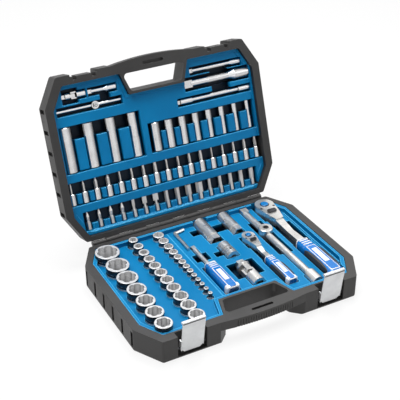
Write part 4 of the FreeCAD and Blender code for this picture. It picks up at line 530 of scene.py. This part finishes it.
# Bars and heads that lie along the case: the same plated steel, ground lengthwise
# before it was plated.
LONG_DARK = (0.66, 0.65, 0.63, 1)
LONG_PALE = (0.78, 0.77, 0.75, 1)
LONG_ROUGH = (0.26, 0.34)
LONG_METALLIC = 0.9
# Painted shade: the bars darken where they turn away from the eye.
chrome_long = metal("chrome_long", LONG_DARK, LONG_PALE, LONG_ROUGH, facing_shade=LYING_SHADE_RANGE)
less_metallic(chrome_long, LONG_METALLIC)
finish_nodes(chrome_long, "ratchet_half_body", "ratchet_half_cover", "ratchet_half_gear",
             "ratchet_quarter_body", "ratchet_quarter_cover", "ratchet_quarter_gear",
             "spinner_shaft", "tee_bar", "tee_slider", "spark_socket_large", "spark_socket_small",
             "bit_adapter", "universal_half_drive_yoke", "universal_half_cross",
             "universal_half_socket_yoke")

# Tools clipped into the lid: deep sockets and bit sockets that stand in rows, and
# bars that lie across. They are turned from chrome-vanadium steel and bright plated.
LID_ROUGH = (0.18, 0.26)
# Painted shade: the lid's tools darken where they turn away from the eye.
chrome_lid = metal("chrome_lid", CHROME_DARK, CHROME_PALE, LID_ROUGH, facing_shade=UPRIGHT_SHADE_RANGE)
finish_nodes(chrome_lid, "deep_sockets", "deep_slim_sockets", "bit_socket_bodies",
             "extension_short", "extension_medium", "extension_long", "flexible_extension_ends",
             "flexible_extension_core", "small_tee_bar", "small_tee_slider",
             "universal_quarter_drive_yoke", "universal_quarter_cross",
             "universal_quarter_socket_yoke")

# Bits and blades: drawn tool steel, forged to shape, hardened and sand blasted to a
# dull grey. The blades are pressed into their sockets.
BLASTED_DARK = (0.56, 0.54, 0.52, 1)
BLASTED_PALE = (0.70, 0.69, 0.67, 1)
BLASTED_ROUGH = (0.30, 0.42)
BLASTED_LINES = 900.0
BLASTED_DEEP = 0.00001
blasted = metal("blasted_steel", BLASTED_DARK, BLASTED_PALE, BLASTED_ROUGH,
                lines=BLASTED_LINES, depth=BLASTED_DEEP)
finish_nodes(blasted, "screwdriver_bits", "bit_socket_blades")

# Ratchet screws, levers and pawls: small steel parts, blackened in hot oil. The
# hexagon key beside them is bent from plated bar.
BLACK_DARK = (0.05, 0.05, 0.055, 1)
BLACK_PALE = (0.10, 0.10, 0.11, 1)
BLACK_ROUGH = (0.25, 0.40)
blackened = metal("blackened_steel", BLACK_DARK, BLACK_PALE, BLACK_ROUGH)
finish_nodes(blackened, "ratchet_half_screws", "ratchet_quarter_screws", "ratchet_half_lever",
             "ratchet_quarter_lever", "ratchet_half_pawl", "ratchet_quarter_pawl")
finish_nodes(chrome_long, "hex_key")

# Grips: a glossy blue shell moulded over the shank, waisted behind the collar. It
# is drawn out of one rounded section, station by station, to the grip's own width.
# Places and sizes on it are shares of the grip's own; thin steps are in metres.
GLOSS_GRAIN = 300.0
GLOSS_PEBBLE_DEEP = 0.0001
BLUE_DARK = (0.0, 0.150, 0.500, 1)
BLUE_PALE = (0.0, 0.180, 0.570, 1)
BLUE_ROUGH = (0.18, 0.28)
BLUE_COAT = 0.5
SOFT_DARK = (0.010, 0.010, 0.011, 1)
SOFT_PALE = (0.020, 0.020, 0.021, 1)
SOFT_GRAIN = 1200.0
SOFT_ROUGH = (0.50, 0.65)
SOFT_PEBBLE_DEEP = 0.0003
WHITE_DARK = (0.74, 0.75, 0.77, 1)
WHITE_PALE = (0.82, 0.83, 0.84, 1)
WHITE_ROUGH = (0.22, 0.32)
WHITE_COAT = 0.4
SHELL_STATIONS = [(0.00, 0.60, 0.62), (0.012, 0.70, 0.74), (0.05, 0.76, 0.82), (0.13, 0.77, 0.84),
                  (0.20, 0.79, 0.86), (0.225, 0.75, 0.82), (0.25, 0.86, 0.92), (0.29, 0.90, 0.965),
                  (0.40, 0.86, 0.965), (0.52, 0.87, 0.97), (0.70, 0.90, 0.97), (0.88, 0.92, 0.965),
                  (0.955, 0.90, 0.95), (0.985, 0.83, 0.88), (1.00, 0.68, 0.74)]
COLLAR_STATIONS = [(0.000, 0.66, 0.68), (0.006, 0.76, 0.80), (0.022, 0.80, 0.86), (0.030, 0.76, 0.82)]
CAP_STATIONS = [(0.885, 0.90, 0.94), (0.900, 0.94, 0.985), (0.950, 0.93, 0.975),
                (0.985, 0.86, 0.90), (1.00, 0.72, 0.78)]
SECTION_CORNER = 0.2
SHELL_SMOOTH = 32.0
PLATE_THICK = 0.003
PLATE_ROUNDING = 0.25
PLATE_CORNER = 0.12
PLATE_MIDDLE = 0.605
PLATE_RISE = 0.485
PLATE_STEP = 0.0003
OUTLINE_SIZE = (0.58, 0.72)
BORDER_WIDE = (0.0022, 0.0030)
PANEL_SIZE = (0.32, 0.40)
PANEL_MIDDLE = 0.540
STRIPES = 3
STRIPE_FIRST = 0.060
STRIPE_PITCH = 0.058
STRIPE_RISE = 0.413
STRIPE_CLIMB = 0.009
STRIPE_PROUD = 0.0008
STRIPE_SIZE = (0.56, 0.026)
STRIPE_CORNER = 0.011
PAD_MIDDLE = 0.60
PAD_DROP = 0.03
PAD_SIZE = (0.21, 0.66, 0.94)
PAD_OUT = 0.395
PAD_CUTS = 3
PAD_END_FACING = 0.9
PAD_ENDS = (0.6, 1.0, 0.8)
PAD_ROUNDS = 2
PAD_SMOOTH = 60.0
CAP_FACE_MIDDLE = 0.925
CAP_FACE_RISE = 0.499
CAP_FACE_SIZE = (0.40, 0.115)
CAP_FACE_CORNER = 0.05
grip_gloss = plastic("grip_gloss", BLUE_DARK, BLUE_PALE, GLOSS_GRAIN, BLUE_ROUGH,
                     GLOSS_PEBBLE_DEEP, BLUE_COAT)
grip_soft = plastic("grip_soft", SOFT_DARK, SOFT_PALE, SOFT_GRAIN, SOFT_ROUGH, SOFT_PEBBLE_DEEP)
inlay = plastic("white_inlay", WHITE_DARK, WHITE_PALE, GLOSS_GRAIN, WHITE_ROUGH,
                GLOSS_PEBBLE_DEEP, WHITE_COAT)


def grip_shell(name, body, finish, slot, stations, centre, width, height, start, length):
    """One moulding of a grip, extruded backwards through its stations."""
    share, across, tall = stations[0]
    place = (centre.x, start - share * length, centre.z)
    bpy.ops.mesh.primitive_plane_add(size=1.0, location=place, rotation=(math.pi / 2, 0, 0))
    piece = bpy.context.object
    piece.name = name
    bpy.ops.object.mode_set(mode="EDIT")
    bpy.ops.transform.resize(value=(width * across, 1.0, height * tall))
    bpy.ops.mesh.bevel(offset=height * SECTION_CORNER, segments=6, affect="VERTICES")
    for (last, last_across, last_tall), (share, across, tall) in zip(stations, stations[1:]):
        step = (0, (last - share) * length, 0)
        bpy.ops.mesh.extrude_region_move(TRANSFORM_OT_translate={"value": step})
        middle = (centre.x, start - share * length, centre.z)
        scale = (across / last_across, 1.0, tall / last_tall)
        bpy.ops.transform.resize(value=scale, center_override=middle)
    settle(piece, finish, body, angle=SHELL_SMOOTH)
    return piece


def top_plate(name, body, finish, middle, size, corner):
    """Thin rounded plate laid on top of a grip."""
    bpy.ops.mesh.primitive_plane_add(size=1.0, location=middle)
    piece = bpy.context.object
    piece.name = name
    bpy.ops.object.mode_set(mode="EDIT")
    bpy.ops.transform.resize(value=(size[0], size[1], 1.0))
    bpy.ops.mesh.bevel(offset=corner, segments=5, affect="VERTICES")
    bpy.ops.mesh.extrude_region_move(TRANSFORM_OT_translate={"value": (0, 0, -PLATE_THICK)})
    settle(piece, finish, body, PLATE_THICK * PLATE_ROUNDING)
    return piece


def side_pads(name, body, centre, width, height, start, length):
    """Two soft dark pads that wrap the shoulders of a grip, narrowed at both ends."""
    middle = (centre.x, start - length * PAD_MIDDLE, centre.z - height * PAD_DROP)
    bpy.ops.mesh.primitive_cube_add(size=1.0, location=middle)
    piece = bpy.context.object
    piece.name = name
    bpy.ops.object.mode_set(mode="EDIT")
    bpy.ops.transform.resize(value=(width * PAD_SIZE[0], length * PAD_SIZE[1], height * PAD_SIZE[2]))
    bpy.ops.transform.translate(value=(width * PAD_OUT, 0, 0))
    bpy.ops.mesh.subdivide(number_cuts=PAD_CUTS)
    bpy.ops.mesh.select_mode(type="FACE")
    bpy.ops.mesh.select_all(action="DESELECT")
    bpy.ops.object.mode_set(mode="OBJECT")
    for face in piece.data.polygons:
        face.select = abs(face.normal.y) > PAD_END_FACING
    bpy.ops.object.mode_set(mode="EDIT")
    bpy.ops.transform.resize(value=PAD_ENDS)
    bpy.ops.object.mode_set(mode="OBJECT")
    for label, kind in (("twin", "MIRROR"), ("softening", "SUBSURF")):
        step = piece.modifiers.new(label, kind)
        if kind == "SUBSURF":
            step.levels = PAD_ROUNDS
        bpy.ops.object.modifier_apply(modifier=step.name)
    bpy.ops.object.mode_set(mode="EDIT")
    settle(piece, grip_soft, body, angle=PAD_SMOOTH)
    return piece


GRIPS = {"ratchet_half": "ratchet_half_grip", "ratchet_quarter": "ratchet_quarter_grip",
         "spinner": "spinner_grip"}
for body, node in GRIPS.items():
    low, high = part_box(node)
    centre = (low + high) / 2
    width, length, height = high - low
    start = high.y
    sizes = (centre, width, height, start, length)
    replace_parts(grip_shell(body + "_grip_shell", body, grip_gloss, "grip_blue", SHELL_STATIONS,
                           *sizes), node)
    grip_shell(body + "_collar_ring", body, inlay, "inlay_white", COLLAR_STATIONS, *sizes)
    for i in range(STRIPES):
        share = STRIPE_FIRST + STRIPE_PITCH * i
        rise = height * (STRIPE_RISE + STRIPE_CLIMB * i) + STRIPE_PROUD
        top_plate("%s_stripe_%d" % (body, i + 1), body, inlay,
                  (centre.x, start - length * share, centre.z + rise),
                  (width * STRIPE_SIZE[0], length * STRIPE_SIZE[1]), length * STRIPE_CORNER)
    outline = (width * OUTLINE_SIZE[0], length * OUTLINE_SIZE[1])
    face = (outline[0] - BORDER_WIDE[0], outline[1] - BORDER_WIDE[1])
    panel = (width * PANEL_SIZE[0], length * PANEL_SIZE[1])
    plates = (("outline", inlay, "inlay_white", PLATE_MIDDLE, outline),
              ("face", grip_gloss, "grip_blue", PLATE_MIDDLE, face),
              ("panel", inlay, "inlay_white", PANEL_MIDDLE, panel))
    for i, (label, finish, slot, share, size) in enumerate(plates):
        place = (centre.x, start - length * share, centre.z + height * PLATE_RISE + PLATE_STEP * i)
        plate = top_plate(body + "_grip_" + label, body, finish, place, size,
                          size[0] * PLATE_CORNER)
    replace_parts(plate, "spinner_inlays" if body == "spinner" else node + "_inlays")
    if body != "spinner":
        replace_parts(side_pads(body + "_side_grips", body, *sizes), body + "_side_pads")
    if body != "ratchet_half":
        grip_shell(body + "_end_cap", body, inlay, "inlay_white", CAP_STATIONS, *sizes)
        place = (centre.x, start - length * CAP_FACE_MIDDLE, centre.z + height * CAP_FACE_RISE)
        top_plate(body + "_cap_face", body, grip_gloss, place,
                  (width * CAP_FACE_SIZE[0], length * CAP_FACE_SIZE[1]), width * CAP_FACE_CORNER)
finish_nodes(grip_soft, "spark_inserts")

# Release buttons: small glossy blue caps, moulded and pressed onto the pin that
# lets the socket go, in the middle of each ratchet head.
BUTTON_DARK = (0.004, 0.16, 0.45, 1)
BUTTON_PALE = (0.006, 0.20, 0.52, 1)
BUTTON_GRAIN = 400.0
BUTTON_ROUGH = (0.18, 0.26)
button_gloss = plastic("button_gloss", BUTTON_DARK, BUTTON_PALE, BUTTON_GRAIN, BUTTON_ROUGH,
                       GLOSS_PEBBLE_DEEP, BLUE_COAT)
finish_nodes(button_gloss, "ratchet_half_button", "ratchet_quarter_button")

# Rings: turned grooves in black steel, round each release button, on the knobs of
# both tee sliders and in the end of the spinner handle, where the drive goes in. Round
# the buttons the black is a dark joint line; in the sunk rings it is painted shade in the recess.
RING_DEEP = 0.0008
RING_PROUD = 0.00015
RING_BASE = 0.0012
BUTTON_RING = (0.0013, 0.0003)
TEE_RING = (0.0052, 0.0036)
SMALL_TEE_RING = (0.0026, 0.0016)
DRIVE_HOLE = (0.0046, 0.0040)
UP = Vector((0, 0, 1))


def crown(node, out):
    """Point where a node stands highest over its middle along a direction."""
    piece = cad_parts[node]
    low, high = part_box(node)
    centre = (low + high) / 2
    reach = max((piece.matrix_world @ corner.co - centre).dot(out) for corner in piece.data.vertices)
    return centre + out * reach


def ring(name, body, place, turn, outer, inner, through=False):
    """Ring on a face that is turned about the X axis, with an open middle or a sunk one."""
    out = Quaternion((1, 0, 0), turn) @ UP
    bpy.ops.mesh.primitive_circle_add(vertices=32, radius=outer, fill_type="NGON",
                                      location=place - out * RING_BASE, rotation=(turn, 0, 0))
    piece = bpy.context.object
    piece.name = name
    bpy.ops.object.mode_set(mode="EDIT")
    if through:
        bpy.ops.mesh.inset(thickness=outer - inner)
        bpy.ops.mesh.delete(type="FACE")
        bpy.ops.mesh.select_all(action="SELECT")
        bpy.ops.mesh.extrude_region_move(TRANSFORM_OT_translate={"value": out * RING_BASE})
    else:
        bpy.ops.mesh.extrude_region_move(TRANSFORM_OT_translate={"value": out * RING_BASE})
        bpy.ops.mesh.inset(thickness=outer - inner)
        bpy.ops.mesh.extrude_region_move(TRANSFORM_OT_translate={"value": out * -RING_DEEP})
    settle(piece, blackened, body)


for body in ("ratchet_half", "ratchet_quarter"):
    low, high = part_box(body + "_button")
    place = crown(body + "_button", UP)
    place.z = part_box(body + "_cover")[1].z + RING_PROUD
    radius = (high.x - low.x) / 2
    ring(body + "_button_ring", body, place, 0.0, radius + BUTTON_RING[0],
         radius + BUTTON_RING[1], True)
# Painted shade: black in the dimple of the slider's knob.
ring("tee_slider_ring", "tee_slider", crown("tee_slider", UP) + UP * RING_PROUD, 0.0, *TEE_RING)
lid_out = Vector(LID_OUT)
# Painted shade: black in the dimple of the small slider's knob.
ring("small_tee_slider_ring", "small_tee_slider",
     crown("small_tee_slider", lid_out) + lid_out * RING_PROUD, math.pi - LID_TURN, *SMALL_TEE_RING)
low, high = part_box("spinner_grip")
place = (low + high) / 2
place.y = low.y - RING_PROUD
# Painted shade: black in the drive hole at the end of the spinner handle.
ring("spinner_drive_hole", "spinner", place, math.pi / 2, *DRIVE_HOLE)

# Studio: a wide pale floor, which looks white to the eye and in the chrome, under
# large soft lamps and a sky that fades towards the ground.
FLOOR_SIZE = 14.0
FLOOR_PAINT = (0.86, 0.86, 0.86, 1)
FLOOR_ROUGH = 0.7
FLOOR_WHITE = 0.86
LAMPS = {"key": ((-0.9, -0.2, 2.0), 1.0, 24.0), "top": ((0.3, 0.55, 2.2), 1.2, 50.0),
         "side": ((1.7, -1.2, 1.1), 1.0, 5.0)}
AIM = Vector((0, 0.05, 0.08))
SKY = ((0.46, (0.30, 0.30, 0.31, 1)), (0.62, (0.96, 0.96, 0.96, 1)))
SKY_ON_OBJECT = 0.20


def seen_directly(nodes, links):
    """1 for what the eye sees, also in metal and glass, and 0 for light that falls on the object."""
    rays = nodes.new("ShaderNodeLightPath")
    seen = rays.outputs["Is Camera Ray"]
    for kind in ("Is Glossy Ray", "Is Transmission Ray"):
        either = nodes.new("ShaderNodeMath")
        either.operation = "MAXIMUM"
        links.new(seen, either.inputs[0])
        links.new(rays.outputs[kind], either.inputs[1])
        seen = either.outputs["Value"]
    return seen


bpy.ops.mesh.primitive_plane_add(size=FLOOR_SIZE, location=(0, 0, 0))
floor = bpy.context.object
floor.name = "floor"
floor_paint = bpy.data.materials.new("floor_paint")
floor_paint.use_nodes = True
nodes, links = floor_paint.node_tree.nodes, floor_paint.node_tree.links
nodes["Principled BSDF"].inputs["Base Color"].default_value = FLOOR_PAINT
nodes["Principled BSDF"].inputs["Roughness"].default_value = FLOOR_ROUGH
glow = nodes.new("ShaderNodeEmission")
white = nodes.new("ShaderNodeMath")
white.operation = "MULTIPLY"
white.inputs[1].default_value = FLOOR_WHITE
links.new(seen_directly(nodes, links), white.inputs[0])
blend = nodes.new("ShaderNodeMixShader")
links.new(white.outputs["Value"], blend.inputs[0])
links.new(nodes["Principled BSDF"].outputs["BSDF"], blend.inputs[1])
links.new(glow.outputs["Emission"], blend.inputs[2])
links.new(blend.outputs["Shader"], nodes["Material Output"].inputs["Surface"])
floor.data.materials.append(floor_paint)

for name, (place, width, power) in LAMPS.items():
    bpy.ops.object.light_add(type="AREA", location=place)
    lamp = bpy.context.object
    lamp.name = "lamp_" + name
    lamp.data.size = width
    lamp.data.energy = power
    lamp.rotation_mode = "QUATERNION"
    lamp.rotation_quaternion = (AIM - Vector(place)).to_track_quat("-Z", "Y")

world = bpy.data.worlds.new("studio_sky")
bpy.context.scene.world = world
world.use_nodes = True
nodes, links = world.node_tree.nodes, world.node_tree.links
where = nodes.new("ShaderNodeTexCoord")
parts = nodes.new("ShaderNodeSeparateXYZ")
links.new(where.outputs["Generated"], parts.inputs["Vector"])
sky = nodes.new("ShaderNodeValToRGB")
for stop, (position, colour) in zip(sky.color_ramp.elements, SKY):
    stop.position = position
    stop.color = colour
lift = nodes.new("ShaderNodeMapRange")
lift.inputs["From Min"].default_value = -1.0
links.new(parts.outputs["Z"], lift.inputs["Value"])
links.new(lift.outputs["Result"], sky.inputs["Fac"])
links.new(sky.outputs["Color"], nodes["Background"].inputs["Color"])
level = nodes.new("ShaderNodeMapRange")
level.inputs["To Min"].default_value = SKY_ON_OBJECT
links.new(seen_directly(nodes, links), level.inputs["Value"])
links.new(level.outputs["Result"], nodes["Background"].inputs["Strength"])

# Camera: a long lens above the front left corner, aimed at the middle of the open
# case.
CAMERA_TARGET = Vector((0.0253, 0.1161, 0.0900))
CAMERA_AZIMUTH = math.radians(-27.92)
CAMERA_HEIGHT = math.radians(31.47)
CAMERA_ROLL = math.radians(-0.34)
CAMERA_FAR = 1.649
CAMERA_SENSOR = 36.0
CAMERA_LENS = 86.6
back = Vector((math.sin(CAMERA_AZIMUTH) * math.cos(CAMERA_HEIGHT),
               -math.cos(CAMERA_AZIMUTH) * math.cos(CAMERA_HEIGHT), math.sin(CAMERA_HEIGHT)))
bpy.ops.object.camera_add(location=CAMERA_TARGET + back * CAMERA_FAR)
camera = bpy.context.object
camera.rotation_mode = "QUATERNION"
camera.rotation_quaternion = (-back).to_track_quat("-Z", "Y") @ Quaternion((0, 0, 1), CAMERA_ROLL)
camera.data.sensor_width = CAMERA_SENSOR
camera.data.lens = CAMERA_LENS
bpy.context.scene.camera = camera
bpy.context.scene.view_settings.view_transform = "Standard"
